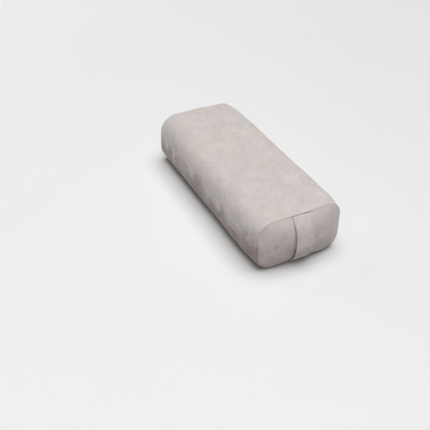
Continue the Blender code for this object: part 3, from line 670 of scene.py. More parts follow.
class Finish:
    """A Principled material with the few pattern nodes that the bolster's finishes share."""

    def __init__(self, name, roughness, metallic=0.0, sheen=0.0):
        self.material = bpy.data.materials.new(name)
        self.material.use_nodes = True
        self.nodes = self.material.node_tree.nodes
        self.links = self.material.node_tree.links
        self.shader = self.nodes["Principled BSDF"]
        self.shader.inputs["Roughness"].default_value = roughness
        self.shader.inputs["Metallic"].default_value = metallic
        self.shader.inputs["Sheen Weight"].default_value = sheen
        self.place = self.nodes.new("ShaderNodeTexCoord").outputs["Object"]

    def stretched(self, scale):
        made = self.nodes.new("ShaderNodeMapping")
        made.inputs["Scale"].default_value = scale
        self.links.new(self.place, made.inputs["Vector"])
        return made.outputs["Vector"]

    def noise(self, size, detail=2.0, roughness=0.5, distortion=0.0):
        """Smooth noise whose features have the given size in metres along each axis."""
        made = self.nodes.new("ShaderNodeTexNoise")
        made.inputs["Scale"].default_value = 1.0
        made.inputs["Detail"].default_value = detail
        made.inputs["Roughness"].default_value = roughness
        made.inputs["Distortion"].default_value = distortion
        self.links.new(self.stretched([1 / s for s in size]), made.inputs["Vector"])
        return made.outputs["Fac"]

    def ribs(self, size, axis, distortion=0.0):
        """Parallel ribs of the given size across an axis, for woven cloth."""
        made = self.nodes.new("ShaderNodeTexWave")
        made.bands_direction = axis
        made.inputs["Scale"].default_value = math.pi / 10 / size
        made.inputs["Distortion"].default_value = distortion
        made.inputs["Detail"].default_value = 0.0
        self.links.new(self.place, made.inputs["Vector"])
        return made.outputs["Fac"]

    def ramp(self, factor, stops):
        """Maps a factor over (position, grey or colour) stops."""
        made = self.nodes.new("ShaderNodeValToRGB")
        made.color_ramp.interpolation = "EASE"
        for i, (position, value) in enumerate(stops):
            element = made.color_ramp.elements[i] if i < 2 else made.color_ramp.elements.new(position)
            element.position = position
            colour = (value,) * 3 if isinstance(value, (int, float)) else tuple(value)
            element.color = (*colour, 1.0)
        self.links.new(factor, made.inputs["Fac"])
        return made.outputs["Color"]

    def calculate(self, operation, first, second):
        made = self.nodes.new("ShaderNodeMath")
        made.operation = operation
        for socket, value in zip(made.inputs, (first, second)):
            if isinstance(value, (int, float)):
                socket.default_value = value
            else:
                self.links.new(value, socket)
        return made.outputs["Value"]

    def mix(self, factor, first, second, mode="MIX"):
        made = self.nodes.new("ShaderNodeMix")
        made.data_type = "RGBA"
        made.blend_type = mode
        for name, value in (("Factor", factor), ("A", first), ("B", second)):
            kind = "VALUE" if name == "Factor" else "RGBA"
            socket = next(s for s in made.inputs if s.name == name and s.type == kind)
            if isinstance(value, (int, float)):
                socket.default_value = value
            elif isinstance(value, bpy.types.NodeSocket):
                self.links.new(value, socket)
            else:
                socket.default_value = (*value, 1.0)
        return next(s for s in made.outputs if s.type == "RGBA")

    def shade(self, tone, pattern, *stops):
        """Darkens and lightens a tone by a pattern."""
        return self.mix(1.0, tone, self.ramp(pattern, stops), "MULTIPLY")

    def colour(self, socket):
        self.links.new(socket, self.shader.inputs["Base Color"])

    def rough(self, socket):
        self.links.new(socket, self.shader.inputs["Roughness"])

    def bump(self, height, distance, strength=1.0):
        """Adds a bump of the given height in metres on top of those before it."""
        made = self.nodes.new("ShaderNodeBump")
        made.inputs["Distance"].default_value = distance
        made.inputs["Strength"].default_value = strength
        self.links.new(height, made.inputs["Height"])
        normal = self.shader.inputs["Normal"]
        if normal.links:
            self.links.new(normal.links[0].from_socket, made.inputs["Normal"])
        self.links.new(made.outputs["Normal"], normal)

    def share(self, axis, reach):
        """The place along an axis as a share of a reach."""
        split = self.nodes.new("ShaderNodeSeparateXYZ")
        self.links.new(self.place, split.inputs["Vector"])
        return self.calculate("DIVIDE", split.outputs[axis], reach)


def painted_shade_share(finish, streaks):
    """How much painted shade darkens the suede: most low on the front side, less on the ends and towards the
    zip, broken into streaks of brushed nap.
    """
    drifts = finish.noise((0.045, 0.045, 0.030), detail=3, distortion=0.5)
    ragged = finish.calculate(
        "ADD", finish.calculate("MULTIPLY", streaks, 0.35), finish.calculate("MULTIPLY", drifts, 0.85)
    )
    # The reach is doubled because a ramp ends at 1, so the seams lie at 0.5
    outward = finish.calculate("ABSOLUTE", finish.share("X", 2 * SEAM_X), 0.0)
    raised = finish.ramp(outward, [(0.5, 0.0), (0.506, 0.12)])
    height = finish.calculate("ADD", finish.share("Z", TOP_Z), raised)
    level = finish.calculate("SUBTRACT", finish.calculate("ADD", height, ragged), 0.60)
    # Painted shade: deepest towards the floor, lighter on the ends and on the zip side
    low_down = finish.ramp(level, [(0.20, 1.0), (0.38, 0.82), (0.50, 0.47), (0.64, 0.09), (0.82, 0.0)])
    on_ends = finish.ramp(outward, [(0.5, 1.0), (0.506, 0.56)])
    backward = finish.calculate("ADD", finish.share("Y", 2 * BACK_Y), 0.5)
    zip_side = finish.ramp(backward, [(0.86, 1.0), (0.97, 0.45)])
    return finish.calculate("MULTIPLY", finish.calculate("MULTIPLY", low_down, on_ends), zip_side)


def suede_finish(looks):
    """Short brushed nap, made once: soft cloudy tones, painted shade low on the sides broken into streaks,
    and fine fibres.
    """
    if "suede_and_painted_shade" in bpy.data.materials:
        return bpy.data.materials["suede_and_painted_shade"]
    finish = Finish("suede_and_painted_shade", 0.92, sheen=0.6)
    finish.shader.inputs["Sheen Roughness"].default_value = 0.35
    finish.shader.inputs["Sheen Tint"].default_value = (1.0, 0.97, 0.95, 1.0)
    finish.shader.inputs["Specular IOR Level"].default_value = 0.15
    clouds = finish.noise((0.11, 0.075, 0.06), detail=3, distortion=0.6)
    tone = finish.mix(finish.ramp(clouds, [(0.40, 0.0), (0.62, 1.0)]), looks.suede, looks.suede_warm)
    streaks = finish.noise((0.006, 0.006, 0.034), detail=4, roughness=0.6, distortion=0.3)
    # Painted shade: mixes the darker suede colour in low on the sides, broken into streaks of brushed nap
    tone = finish.mix(painted_shade_share(finish, streaks), tone, looks.suede_painted_shade)
    patches = finish.noise((0.035, 0.03, 0.03), detail=5, roughness=0.6)
    tone = finish.shade(tone, patches, (0.3, 0.95), (0.7, 1.04))
    hand_marks = finish.noise((0.015, 0.015, 0.010), detail=3, distortion=1.6)
    tone = finish.shade(tone, hand_marks, (0.34, 0.95), (0.62, 1.025))
    fibres = finish.noise((0.0009, 0.0009, 0.0016), detail=2, roughness=0.7)
    finish.colour(finish.shade(tone, fibres, (0.25, 0.90), (0.75, 1.07)))
    finish.rough(finish.ramp(streaks, [(0.3, 0.86), (0.7, 0.98)]))
    finish.bump(fibres, 0.00022, 0.6)
    finish.bump(finish.noise((0.006, 0.006, 0.010), detail=3), 0.0004, 0.5)
    return finish.material


def woven_finish(name, colour, rib, across, weft, roughness=0.85):
    """Cloth woven in ribs along one axis, crossed by finer ones."""
    finish = Finish(name, roughness, sheen=0.15)
    ribs = finish.ribs(rib, across)
    crossing = finish.ribs(rib * 0.7, weft, distortion=0.4)
    weave = finish.calculate("MULTIPLY", ribs, crossing)
    shaded = finish.shade(colour, weave, (0.0, 0.72), (0.6, 1.08))
    fluff = finish.noise((0.004, 0.004, 0.004), detail=3)
    finish.colour(finish.shade(shaded, fluff, (0.3, 0.92), (0.7, 1.05)))
    finish.bump(weave, 0.00012)
    return finish.material


def fluffy_finish(name, colour, size, depth, roughness=1.0):
    """Batting or foam: an open, matted or porous surface."""
    finish = Finish(name, roughness, sheen=0.1)
    tufts = finish.noise((size, size, size), detail=5, roughness=0.7, distortion=0.8)
    finish.colour(finish.shade(colour, tufts, (0.3, 0.82), (0.65, 1.08)))
    finish.bump(tufts, depth)
    return finish.material


def thread_finish(looks):
    """Twisted sewing thread with a little lustre, made once."""
    if "sewing_thread" in bpy.data.materials:
        return bpy.data.materials["sewing_thread"]
    finish = Finish("sewing_thread", 0.55, sheen=0.2)
    twist = finish.noise((0.0005, 0.0005, 0.0005), detail=1)
    finish.colour(finish.shade(looks.thread, twist, (0.3, 0.8), (0.7, 1.1)))
    return finish.material


def nylon_finish(looks):
    """Moulded nylon with a soft shine."""
    finish = Finish("zip_nylon", 0.42)
    drift = finish.noise((0.006, 0.002, 0.002), detail=2)
    finish.colour(finish.shade(looks.zip_nylon, drift, (0.3, 0.88), (0.7, 1.08)))
    finish.rough(finish.ramp(drift, [(0.3, 0.36), (0.7, 0.5)]))
    return finish.material


def metal_finish(looks):
    """Tumbled nickel: fine scratches, with dulled and rubbed places."""
    finish = Finish("zip_metal", 0.3, metallic=1.0)
    scratches = finish.noise((0.006, 0.0002, 0.0002), detail=3, roughness=0.7)
    rubbed = finish.noise((0.003, 0.003, 0.003), detail=3)
    finish.colour(finish.shade(looks.metal, rubbed, (0.3, 0.82), (0.7, 1.05)))
    finish.rough(finish.ramp(finish.mix(0.5, scratches, rubbed), [(0.3, 0.22), (0.7, 0.42)]))
    finish.bump(scratches, 0.00002)
    return finish.material


# Cover


def wrap_rings(skin, sewing, side):
    """The turned edge and hem at one end of the wrap, outside to inside."""
    ring = skin.rim(side)
    inward = inward_at(ring)
    outward_x = np.array([side, 0.0, 0.0])
    radius = sewing.fold_radius
    rings = []
    for angle in np.radians((0, 40, 80, 120, 180)):
        forward = radius * (math.sin(angle) - 1)
        rings.append(ring + outward_x * forward + inward * radius * (1 - math.cos(angle)))
    for share in (0.5, 1.0):
        rings.append(rings[4] - outward_x * sewing.hem * share)
    return rings


def open_slot(mesh, skin, sewing, zipper):
    """Opens the slot for the zip and turns its edges in behind the lips."""
    tolerance = 0.001
    at_slot = BACK_Y - tolerance
    inside = []
    for face in mesh.faces:
        x, y, z = face.calc_center_median()
        if abs(x) < skin.slot_x and abs(z - ZIP_Z) < skin.slot_half and y > at_slot:
            inside.append(face)
    if not inside:
        raise RuntimeError("the cover has no faces where its zip opens")
    bmesh.ops.delete(mesh, geom=inside, context="FACES")
    edges = [
        edge
        for edge in mesh.edges
        if edge.is_boundary and all(v.co.y > at_slot and abs(v.co.x) < skin.straight_x for v in edge.verts)
    ]
    radius = 0.6 * sewing.fold_radius

    def away(point):
        right = 1 if abs(point.x) > skin.slot_x - tolerance else 0
        rise = 1 if abs(point.z - ZIP_Z) > skin.slot_half - tolerance else 0
        return Vector((right * math.copysign(1, point.x), 0, rise * math.copysign(1, point.z - ZIP_Z)))

    verts = {v for edge in edges for v in edge.verts}
    for vert in verts:
        vert.co += away(vert.co) * radius
    # Each turn of the lip: how far it leads away from the slot, and its share of the tape's depth
    turns = ((-radius, 0.3), (0.0, 0.5), (radius, 0.2), (sewing.hem, 0.0))
    for outwards, depth_share in turns:
        made = bmesh.ops.extrude_edge_only(mesh, edges=edges)["geom"]
        moved = {part for part in made if isinstance(part, bmesh.types.BMVert)}
        edges = [part for part in made if isinstance(part, bmesh.types.BMEdge)]
        edges = [edge for edge in edges if moved.issuperset(edge.verts)]
        for vert in moved:
            vert.co += away(vert.co) * outwards - Vector((0, depth_share * zipper.tape_depth, 0))


def make_wrap(skin, settings, material):
    """The one-piece wrap with its turned end hems and the zip's opening."""
    sewing = settings.bolster_sewing
    rings = wrap_rings(skin, sewing, -1)[::-1]
    rings += list(skin.wrap[1:-1])
    rings += wrap_rings(skin, sewing, 1)
    points = np.vstack(rings)
    count = skin.wrap.shape[1]
    rows = np.arange(len(points)).reshape(-1, count)
    data = mesh_from("suede_wrap", points, strip_faces(rows, count))
    mesh = bmesh.new()
    mesh.from_mesh(data)
    open_slot(mesh, skin, sewing, settings.bolster_zip)
    mesh.to_mesh(data)
    mesh.free()
    piece = add_piece("suede_wrap", data, material, "bolster", ["cover_wrap"])
    thicken(piece, sewing.cloth)


def strap_press(points, strap):
    """How deep the sewn-in end of a strap presses the panel at each point."""
    soft_edge, clearance = 0.0015, 0.0002
    under_strap = 1 - smoothstep(STRAP_HALF, STRAP_HALF + soft_edge, np.abs(points[..., 1]))
    return (strap.thickness * strap.squeezed + clearance) * under_strap


def panel_rim(skin, sewing, strap, side):
    """The end panel's turned rim, from its face to the end of its skirt."""
    ring = skin.rim(side)
    inward = inward_at(ring)
    outward_x = np.array([side, 0.0, 0.0])
    pressed = strap_press(ring, strap)
    radius = sewing.fold_radius
    profile = (
        (0.75 * radius, 1.0 * radius),
        (0.70 * radius, 0.55 * radius),
        (1.00 * radius, 0.25 * radius),
        (1.50 * radius, 0.15 * radius),
        (2.30 * radius, -0.4 * radius),
        (2.45 * radius, -0.4 * sewing.hem),
        (2.45 * radius, -1.0 * sewing.hem),
    )
    return [ring + inward * (depth + pressed)[:, None] + outward_x * out for depth, out in profile]


def press_under_strap(grid, skin, strap, side):
    """The panel is pressed in where the strap comes out of the seam over it."""
    rim = skin.rim(side)
    from_seam, nearest = skin.off_seam(grid, rim)
    reach = 0.0055
    depth = strap_press(grid, strap) * np.exp(-((from_seam / reach) ** 2))
    return grid + inward_at(rim)[nearest] * depth[..., None]


def make_panel(skin, settings, end, side, material):
    """A domed end panel with its turned rim and skirt."""
    sewing, strap = settings.bolster_sewing, settings.bolster_strap
    inner = press_under_strap(skin.ends[side], skin, strap, side)[1:-1, 1:-1].reshape(-1, 3)
    rim_rings = panel_rim(skin, sewing, strap, side)
    count = len(rim_rings[0])
    rows = len(inner) + np.arange(len(rim_rings) * count).reshape(-1, count)
    faces = end_faces(skin.numbered(0, rows[0]), side)
    faces += strip_faces(rows[::-1] if side > 0 else rows, count)
    name = "suede_panel_" + end
    data = mesh_from(name, np.vstack([inner] + rim_rings), faces)
    piece = add_piece(name, data, material, "bolster", ["end_panel_" + end])
    thicken(piece, sewing.cloth)


# Carrying straps


def strap_line(skin, strap, side, steps=5):
    """The middle of a strap's thickness from its upper tail to its lower one, as (x, z) points.

    It lies on the panel beside the seams and stands off it between them.
    """
    profile = skin.ends[side][skin.across // 2][:, [0, 2]] * (side, 1)
    low, high = profile[0, 1], profile[-1, 1]
    slope = np.gradient(profile[:, 0], profile[:, 1])
    upper = high - strap.inset
    from_seam = ((-strap.tail, 0.0), (-0.002, 0.0), (0.0005, 0.0), (0.0028, strap.roll))
    guide = [(SEAM_X + out, upper + rise) for out, rise in from_seam]
    gap_at_landing = 0.0004
    for way_down in np.linspace(-1, 1, 9):
        z = (low + high) / 2 - way_down * strap.land * (high - low) / 2
        x = np.interp(z, profile[:, 1], profile[:, 0])
        normal = unit(np.array([1.0, -np.interp(z, profile[:, 1], slope)]))
        gap = strap.hand_gap + (gap_at_landing - strap.hand_gap) * way_down**2
        guide.append(tuple(np.array([x, z]) + normal * (gap + strap.thickness / 2)))
    guide += [(x, low + high - z) for x, z in guide[3::-1]]
    points = np.array(guide)
    padded = np.vstack([2 * points[0] - points[1], points, 2 * points[-1] - points[-2]])
    line = []
    for a, b, c, d in zip(padded, padded[1:], padded[2:], padded[3:]):
        for t in np.arange(steps) / steps:
            bend = (2 * a - 5 * b + 4 * c - d) * (t * t / 2) + (3 * b - a - 3 * c + d) * (t**3 / 2)
            line.append(b + (c - a) * (t / 2) + bend)
    line.append(points[-1])
    return np.array(line)


class StrapLay:
    """Where a strap lies: its line, the way out of it, how far along, and how much it is squeezed."""

    def __init__(self, settings, side):
        self.strap, self.side = settings.bolster_strap, side
        self.line = strap_line(filled_skin(settings), self.strap, side)
        along = unit(np.gradient(self.line, axis=0))
        self.out = np.column_stack([-along[:, 1], along[:, 0]])
        self.run = run_along(self.line)
        filled_from = 0.010
        free = smoothstep(0.0, filled_from, self.line[:, 0] - SEAM_X)
        self.thickness = self.strap.squeezed + (1 - self.strap.squeezed) * free
        waver, waver_length = 0.0006, 0.06
        leans = [noise.noise(Vector((run / waver_length, 3.0 * side, 0.5))) for run in self.run]
        self.lean = waver * np.array(leans)

    def relief(self, across, i):
        """How far creases and the topstitched edges lift or sink the surface at point i of the line."""
        broad, fine, least, pull_half = (0.0042, 0.05, 1.0), (0.0022, 0.03, 1.0), 0.35, 0.0012
        along = np.full_like(across, self.run[i])
        places = np.stack([across, along, np.full_like(across, 0.05 * self.side)], axis=-1)
        creases = wave(places, broad, 31) + 0.6 * wave(places, fine, 37)
        middle = math.sin(math.pi * self.run[i] / self.run[-1])
        off_stitches = np.abs(across) - STRAP_HALF + self.strap.stitch_inset
        pulled = np.exp(-((off_stitches / pull_half) ** 2))
        return self.strap.crease * (creases * (least + (1 - least) * middle) - 0.9 * pulled)

    def place(self, i, across, lift):
        """Places beside point i of the line, by distance across and out of the strap."""
        (x, z), (out_x, out_z) = self.line[i], self.out[i]
        return np.column_stack([self.side * (x + out_x * lift), across + self.lean[i], z + out_z * lift])

    def rings(self, section, half_thickness, creased=True):
        made = []
        for i in range(len(self.line)):
            lift = section[:, 1] * self.thickness[i]
            if creased:
                face = np.sign(section[:, 1]) * (np.abs(section[:, 1]) > 0.5 * half_thickness)
                lift = lift + self.relief(section[:, 0], i) * face
            made.append(self.place(i, section[:, 0], lift))
        return made

    def stitch_rows(self):
        """The two lines of topstitching on the strap's outer face."""
        shown = np.nonzero(self.line[:, 0] > SEAM_X + 0.001)[0]
        outs = np.column_stack([self.side * self.out[:, 0], np.zeros(len(self.line)), self.out[:, 1]])
        rows = []
        for way in (1, -1):
            across = np.array([way * (STRAP_HALF - self.strap.stitch_inset)])
            places = []
            for i in shown:
                lift = self.strap.thickness / 2 * self.thickness[i] + self.relief(across, i)
                places.append(self.place(i, across, lift)[0])
            rows.append((np.array(places), outs[shown]))
        return rows


def strap_section(half_width, half_thickness, cells):
    """A flat outline with half-round edges, as (across, out) points."""
    flat = half_width - half_thickness
    across = np.linspace(flat, -flat, cells + 1)
    turn = np.radians(np.linspace(90, -90, 5))
    outline = [(y, half_thickness) for y in across[:-1]]
    outline += [(-flat - half_thickness * math.cos(a), half_thickness * math.sin(a)) for a in turn[:-1]]
    outline += [(y, -half_thickness) for y in across[::-1][:-1]]
    outline += [(flat + half_thickness * math.cos(a), -half_thickness * math.sin(a)) for a in turn[:-1]]
    return np.array(outline)


def make_strap(lay, end, material):
    """The suede sleeve of a carrying strap, open at its tails for the webbing inside."""
    strap = lay.strap
    half, hollow = strap.thickness / 2, strap.thickness / 2 - strap.wall
    outer = lay.rings(strap_section(STRAP_HALF, half, 26), half)
    inner = lay.rings(strap_section(STRAP_HALF - strap.wall, hollow, 26), hollow)
    name = "suede_strap_" + end
    data = hollow_tube(name, outer, inner)
    smooth_over(add_piece(name, data, material, "bolster", ["handle_strap_" + end]))


def make_webbing(lay, end, material):
    """The woven tape inside the sleeve, which carries the load."""
    half_width, half = STRAP_HALF - lay.strap.thickness / 2, lay.strap.webbing / 2
    corners = [(half_width, half), (-half_width, half), (-half_width, -half), (half_width, -half)]
    name = "woven_webbing_" + end
    data = capped_rings(name, lay.rings(np.array(corners), half, creased=False))
    add_piece(name, data, material, "bolster", ["handle_webbing_" + end])
    data.set_sharp_from_angle(angle=CREASE_ANGLE)


# Stitching


def stitch_row(places, outs, sewing):
    """Stitches at even distances along a line of places, as points and faces of small closed threads."""
    run = run_along(places)
    pitch = sewing.stitch + sewing.stitch_gap
    count = int(run[-1] / pitch)
    start = (run[-1] - count * pitch + sewing.stitch_gap) / 2
    half, look = sewing.thread / 2, 0.0004
    shares = (-1.0, -0.82, -0.4, 0.4, 0.82, 1.0)
    girths = (0.35, 0.8, 1.0, 1.0, 0.8, 0.35)
    sinks = (1.1, 0.5, 0.0, 0.0, 0.5, 1.1)
    turns = np.radians(np.arange(0, 360, 60))

    def read(values, at):
        return np.array([np.interp(at, run, values[:, k]) for k in range(3)])

    points, faces = [], []
    for i in range(count):
        middle_run = start + i * pitch + sewing.stitch / 2
        rows = []
        for share, girth, sink in zip(shares, girths, sinks):
            at = middle_run + share * sewing.stitch / 2
            out = unit(read(outs, at))
            along = unit(read(places, at + look) - read(places, at - look))
            beside = unit(np.cross(along, out))
            centre = read(places, at) + out * half * (0.7 - sink)
            first = len(points)
            for turn in turns:
                points.append(centre + half * girth * (beside * math.cos(turn) + out * math.sin(turn)))
            rows.append(list(range(first, first + len(turns))))
        faces += strip_faces(rows, len(turns))
        faces += [tuple(rows[0][::-1]), tuple(rows[-1])]
    return points, faces


def add_stitching(name, rows, sewing, material):
    """Several rows of stitches in one piece."""
    points, faces = [], []
    for places, outs in rows:
        new_points, new_faces = stitch_row(places, outs, sewing)
        faces += [tuple(i + len(points) for i in face) for face in new_faces]
        points += new_points
    if not faces:
        raise RuntimeError(name + " has no stitches")
    data = mesh_from(name, points, faces)
    face_outwards(data)
    add_piece(name, data, material, "bolster")


def zip_stitch_rows(skin, zipper):
    """A line of topstitching round the zip's opening, a few millimetres from its lips."""
    reach_x = skin.slot_x + zipper.topstitch
    reach_z = skin.slot_half + zipper.topstitch
    corner_gap = 0.001
    x = np.linspace(-reach_x, reach_x, 60)
    z = np.linspace(corner_gap - reach_z, reach_z - corner_gap, 8)
    rows = []
    for way in (1, -1):
        rows.append(np.column_stack([x, np.full_like(x, BACK_Y), np.full_like(x, ZIP_Z + way * reach_z)]))
        rows.append(np.column_stack([np.full_like(z, way * reach_x), np.full_like(z, BACK_Y), ZIP_Z + z]))
    return [(places, np.tile((0.0, 1.0, 0.0), (len(places), 1))) for places in rows]


# Filling


def inner_rings(skin, inset, last_x):
    """Rings of a layer that lies at a depth below the cover, as far out as last_x on both sides."""
    margin = 0.004
    between = [x for x in skin.stations[::3] if abs(x) < last_x - margin]
    rings = []
    for x in [-last_x] + between + [last_x]:
        ring = skin.ring(x)
        rings.append((ring + inward_at(ring) * inset)[::2])
    return rings


def domed_pad(name, skin, side, inset, face_x, back_x, bulge):
    """A closed pad for one end: a domed face towards the outside and a flat back."""
    rim = skin.ring(side * SEAM_X)
    rim = (rim + inward_at(rim) * inset)[::2]
    middle = (rim[:, 2].min() + rim[:, 2].max()) / 2
    centre = np.array([0, 0, middle])
    rings = []
    for share in (0.0, 0.2, 0.4, 0.6, 0.75, 0.88, 0.96, 1.0):
        x = face_x + bulge * (1 - share**skin.form.dome_fullness)
        ring = centre + (rim - centre) * (1, max(share, 0.02), max(share, 0.02))
        rings.append(ring * (0, 1, 1) + np.array([side * x, 0, 0]))
    for share in (1.0, 0.9, 0.5, 0.1):
        ring = centre + (rim - centre) * (1, share, share)
        rings.append(ring * (0, 1, 1) + np.array([side * back_x, 0, 0]))
    return capped_rings(name, rings)


def make_filling(settings, skin):
    """The cotton case, the batting and the foam core, each in its own pieces."""
    filling, looks = settings.bolster_filling, settings.bolster_looks
    cotton = woven_finish("case_cotton", looks.cotton, 0.0007, "X", "Z")
    fluff = fluffy_finish("batting_fibre", looks.batting, 0.004, 0.0009)
    porous = fluffy_finish("core_foam", looks.foam, 0.0016, 0.0005, 0.95)
    case, wall, gap = filling.case_inset, 0.0007, 0.0004
    pad_inset = case + wall + gap
    core_x, batting_x = SEAM_X - 0.0100, SEAM_X - 0.0110
    outer, inner = inner_rings(skin, case, core_x), inner_rings(skin, case + wall, core_x)
    data = hollow_tube("cotton_case", outer, inner)
    add_piece("cotton_case", data, cotton, "bolster", ["liner_wrap"])
    outer = inner_rings(skin, pad_inset, batting_x)
    inner = inner_rings(skin, filling.core_inset - gap, batting_x)
    data = hollow_tube("batting_layer", outer, inner)
    piece = add_piece("batting_layer", data, fluff, "bolster", ["batting_wrap"])
    data = capped_rings("foam_block", inner_rings(skin, filling.core_inset, core_x))
    piece = add_piece("foam_block", data, porous, "bolster", ["foam_core"])
    case_face, case_back, pad_face = SEAM_X - 0.0040, SEAM_X - 0.0048, SEAM_X - 0.0055
    for end, side in ENDS:
        name = "case_end_" + end
        data = domed_pad(name, skin, side, case, case_face, case_back, DOME_RISE)
        thin_case_end(data, side, case_back, skin)
        add_piece(name, data, cotton, "bolster", ["liner_end_" + end])
        name = "batting_pad_" + end
        data = domed_pad(name, skin, side, pad_inset, pad_face, core_x + gap, DOME_RISE - 0.001)
        piece = add_piece(name, data, fluff, "bolster", ["batting_end_" + end])


def thin_case_end(data, side, back_x, skin):
    """Curves the back of a case end to follow its face, so that it is cloth and not a block."""
    half_width, half_height, follow = 0.0903, 0.0508, 0.97
    for vert in data.vertices:
        if abs(vert.co.x) < back_x + 1e-6:
            reach = math.hypot(vert.co.y / half_width, (vert.co.z - TOP_Z / 2) / half_height)
            bow = DOME_RISE * (1 - min(reach, 1.0) ** skin.form.dome_fullness)
            vert.co.x = side * (back_x + follow * bow)


# Operators


class BOLSTER_OT_cover(bpy.types.Operator):
    """Fill out the suede cover: the wrap with its zip opening, and the two end panels"""

    bl_idname = "bolster.cover"
    bl_label = "Cover"

    def execute(self, context):
        scene = context.scene
        suede = suede_finish(scene.bolster_looks)
        skin = filled_skin(scene)
        make_wrap(skin, scene, suede)
        for end, side in ENDS:
            make_panel(skin, scene, end, side, suede)
        return {"FINISHED"}


class BOLSTER_OT_straps(bpy.types.Operator):
    """Sew a carrying strap on each end, with its webbing and topstitching"""

    bl_idname = "bolster.straps"
    bl_label = "Straps"

    def execute(self, context):
        scene = context.scene
        looks = scene.bolster_looks
        suede, thread = suede_finish(looks), thread_finish(looks)
        webbing = woven_finish("strap_webbing", looks.thread, 0.0016, "Z", "Y")
        for end, side in ENDS:
            lay = StrapLay(scene, side)
            make_strap(lay, end, suede)
            make_webbing(lay, end, webbing)
            name = "strap_stitches_" + end
            add_stitching(name, lay.stitch_rows(), scene.bolster_sewing, thread)
        return {"FINISHED"}


class BOLSTER_OT_zip(bpy.types.Operator):
    """Fit the zip: tapes, teeth, slider, pull, stops and the topstitching round the opening"""

    bl_idname = "bolster.zip"
    bl_label = "Zip"

    def execute(self, context):
        scene = context.scene
        looks, zipper = scene.bolster_looks, scene.bolster_zip
        nylon, metal, thread = nylon_finish(looks), metal_finish(looks), thread_finish(looks)
        tape = woven_finish("zip_tape", looks.thread, 0.0009, "X", "Z")
        for row in ("upper", "lower"):
            softened("zip_coil_" + row, "zip_teeth_" + row, 0.00014, nylon, "bolster")
            softened("zip_tape_" + row, "zip_tape_cloth_" + row, 0.0001, tape, "bolster")
            clamp = "zip_top_clamp_" + row
            softened("zip_top_stop_" + row, clamp, zipper.edge, metal, "bolster")
        softened("zip_bottom_stop", "zip_bottom_clamp", zipper.edge, metal, "bolster")
        softened("zip_slider", "zip_slider_body", zipper.edge, metal, "zip_slider")
        softened("zip_pull", "zip_pull_tab", zipper.edge, metal, "zip_pull")
        rows = zip_stitch_rows(packed_skin(scene), zipper)
        add_stitching("zip_topstitching", rows, scene.bolster_sewing, thread)
        return {"FINISHED"}


class BOLSTER_OT_filling(bpy.types.Operator):
    """Put the cotton case, the batting and the foam core inside the cover"""

    bl_idname = "bolster.filling"
    bl_label = "Filling"

    def execute(self, context):
        make_filling(context.scene, packed_skin(context.scene))
        return {"FINISHED"}


class BOLSTER_OT_studio(bpy.types.Operator):
    """Set up the pale floor, the soft lights and the camera"""

    bl_idname = "bolster.studio"
    bl_label = "Studio"

    def execute(self, context):
        studio = context.scene.bolster_studio
        add_floor(studio)
        add_overhead_light(studio)
        add_area_light("far_light", studio.far_place, studio.far_size, studio.far_power)
        add_area_light("near_light", studio.near_place, studio.near_size, studio.near_power)
        add_room(studio)
        context.scene.view_settings.view_transform = "Standard"
        add_camera(studio)
        return {"FINISHED"}


def packed_skin(scene):
    """The cover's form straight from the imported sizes, before it is filled out."""
    zipper = scene.bolster_zip
    slot_half = (SLIDER_HIGH.z - SLIDER_LOW.z) / 2 + zipper.lip_clearance
    return Skin(scene.bolster_form, zipper.opening, slot_half)


def filled_skin(scene):
    """The cover's form once it is filled out, worked out once for all the pieces that lie on it."""
    if "skin" not in kept:
        skin = packed_skin(scene)
        fill_out(skin)
        add_relief(skin, scene.bolster_sewing)
        kept["skin"] = skin
    return kept["skin"]


def add_floor(studio):
    half = studio.floor_half
    corners = [(-half, -half, 0), (half, -half, 0), (half, half, 0), (-half, half, 0)]
    data = mesh_from("studio_floor", corners, [(0, 1, 2, 3)])
    finish = Finish("pale_floor", 0.85)
    grain = finish.noise((0.5, 0.5, 0.5), detail=3)
    finish.colour(finish.shade(studio.floor, grain, (0.3, 0.99), (0.7, 1.0)))
    data.materials.append(finish.material)
    placed("studio_floor", data)


def add_room(studio):
    """A dim room whose walls are pale towards the floor."""
    world = bpy.data.worlds.new("studio_room")
    world.use_nodes = True
    nodes, links = world.node_tree.nodes, world.node_tree.links
    split = nodes.new("ShaderNodeSeparateXYZ")
    links.new(nodes.new("ShaderNodeTexCoord").outputs["Generated"], split.inputs["Vector"])
    height = nodes.new("ShaderNodeValToRGB")
    wall, ceiling = height.color_ramp.elements
    wall.position, ceiling.position = 0.05, 0.16
    wall.color = (studio.walls, studio.walls, studio.walls, 1.0)
    ceiling.color = (studio.room, studio.room, studio.room, 1.0)
    links.new(split.outputs["Z"], height.inputs["Fac"])
    links.new(height.outputs["Color"], nodes["Background"].inputs["Color"])
    bpy.context.scene.world = world


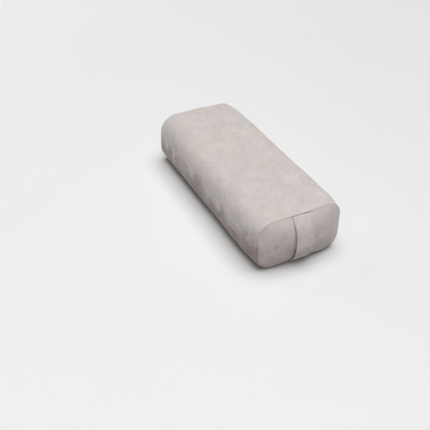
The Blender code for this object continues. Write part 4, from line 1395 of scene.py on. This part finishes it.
def add_overhead_light(studio):
    """A wide soft light from above, even over the whole floor."""
    data = bpy.data.lights.new("overhead_light", "SUN")
    data.energy = studio.overhead
    data.angle = studio.overhead_width
    light = placed("overhead_light", data)
    light.rotation_euler = Vector(studio.overhead_from).to_track_quat("Z", "Y").to_euler()


def add_area_light(name, place, size, power):
    """A square soft light that faces the bolster."""
    data = bpy.data.lights.new(name, "AREA")
    data.shape = "SQUARE"
    data.size = size
    data.energy = power
    light = placed(name, data)
    light.location = place
    light.rotation_euler = (Vector((0, 0, TOP_Z / 2)) - Vector(place)).to_track_quat("-Z", "Y").to_euler()


def add_camera(studio):
    data = bpy.data.cameras.new("studio_camera")
    data.lens = studio.lens
    data.sensor_width = 36.0
    camera = placed("studio_camera", data)
    camera.location = studio.camera_place
    camera.rotation_euler = Euler(studio.camera_turn)
    bpy.context.scene.camera = camera


OPERATORS = (
    BOLSTER_OT_cover,
    BOLSTER_OT_straps,
    BOLSTER_OT_zip,
    BOLSTER_OT_filling,
    BOLSTER_OT_studio,
)


class BOLSTER_PT_panel(bpy.types.Panel):
    """The bolster's pieces and their sizes"""

    bl_idname = "BOLSTER_PT_panel"
    bl_label = "Yoga Bolster"
    bl_space_type = "VIEW_3D"
    bl_region_type = "UI"
    bl_category = "Bolster"

    def draw(self, context):
        for operator in OPERATORS:
            self.layout.operator(operator.bl_idname)
        for name, group in GROUPS.items():
            box = self.layout.box()
            for setting in group.__annotations__:
                box.prop(getattr(context.scene, name), setting)


def register():
    for group in GROUPS.values():
        bpy.utils.register_class(group)
    for name, group in GROUPS.items():
        setattr(bpy.types.Scene, name, PointerProperty(type=group))
    for shown in (*OPERATORS, BOLSTER_PT_panel):
        bpy.utils.register_class(shown)


def unregister():
    for shown in (BOLSTER_PT_panel, *reversed(OPERATORS)):
        bpy.utils.unregister_class(shown)
    for name in GROUPS:
        delattr(bpy.types.Scene, name)
    for group in reversed(GROUPS.values()):
        bpy.utils.unregister_class(group)


def main():
    register()
    bpy.ops.bolster.cover()
    bpy.ops.bolster.straps()
    bpy.ops.bolster.zip()
    bpy.ops.bolster.filling()
    bpy.ops.bolster.studio()


if __name__ == "__main__":
    main()
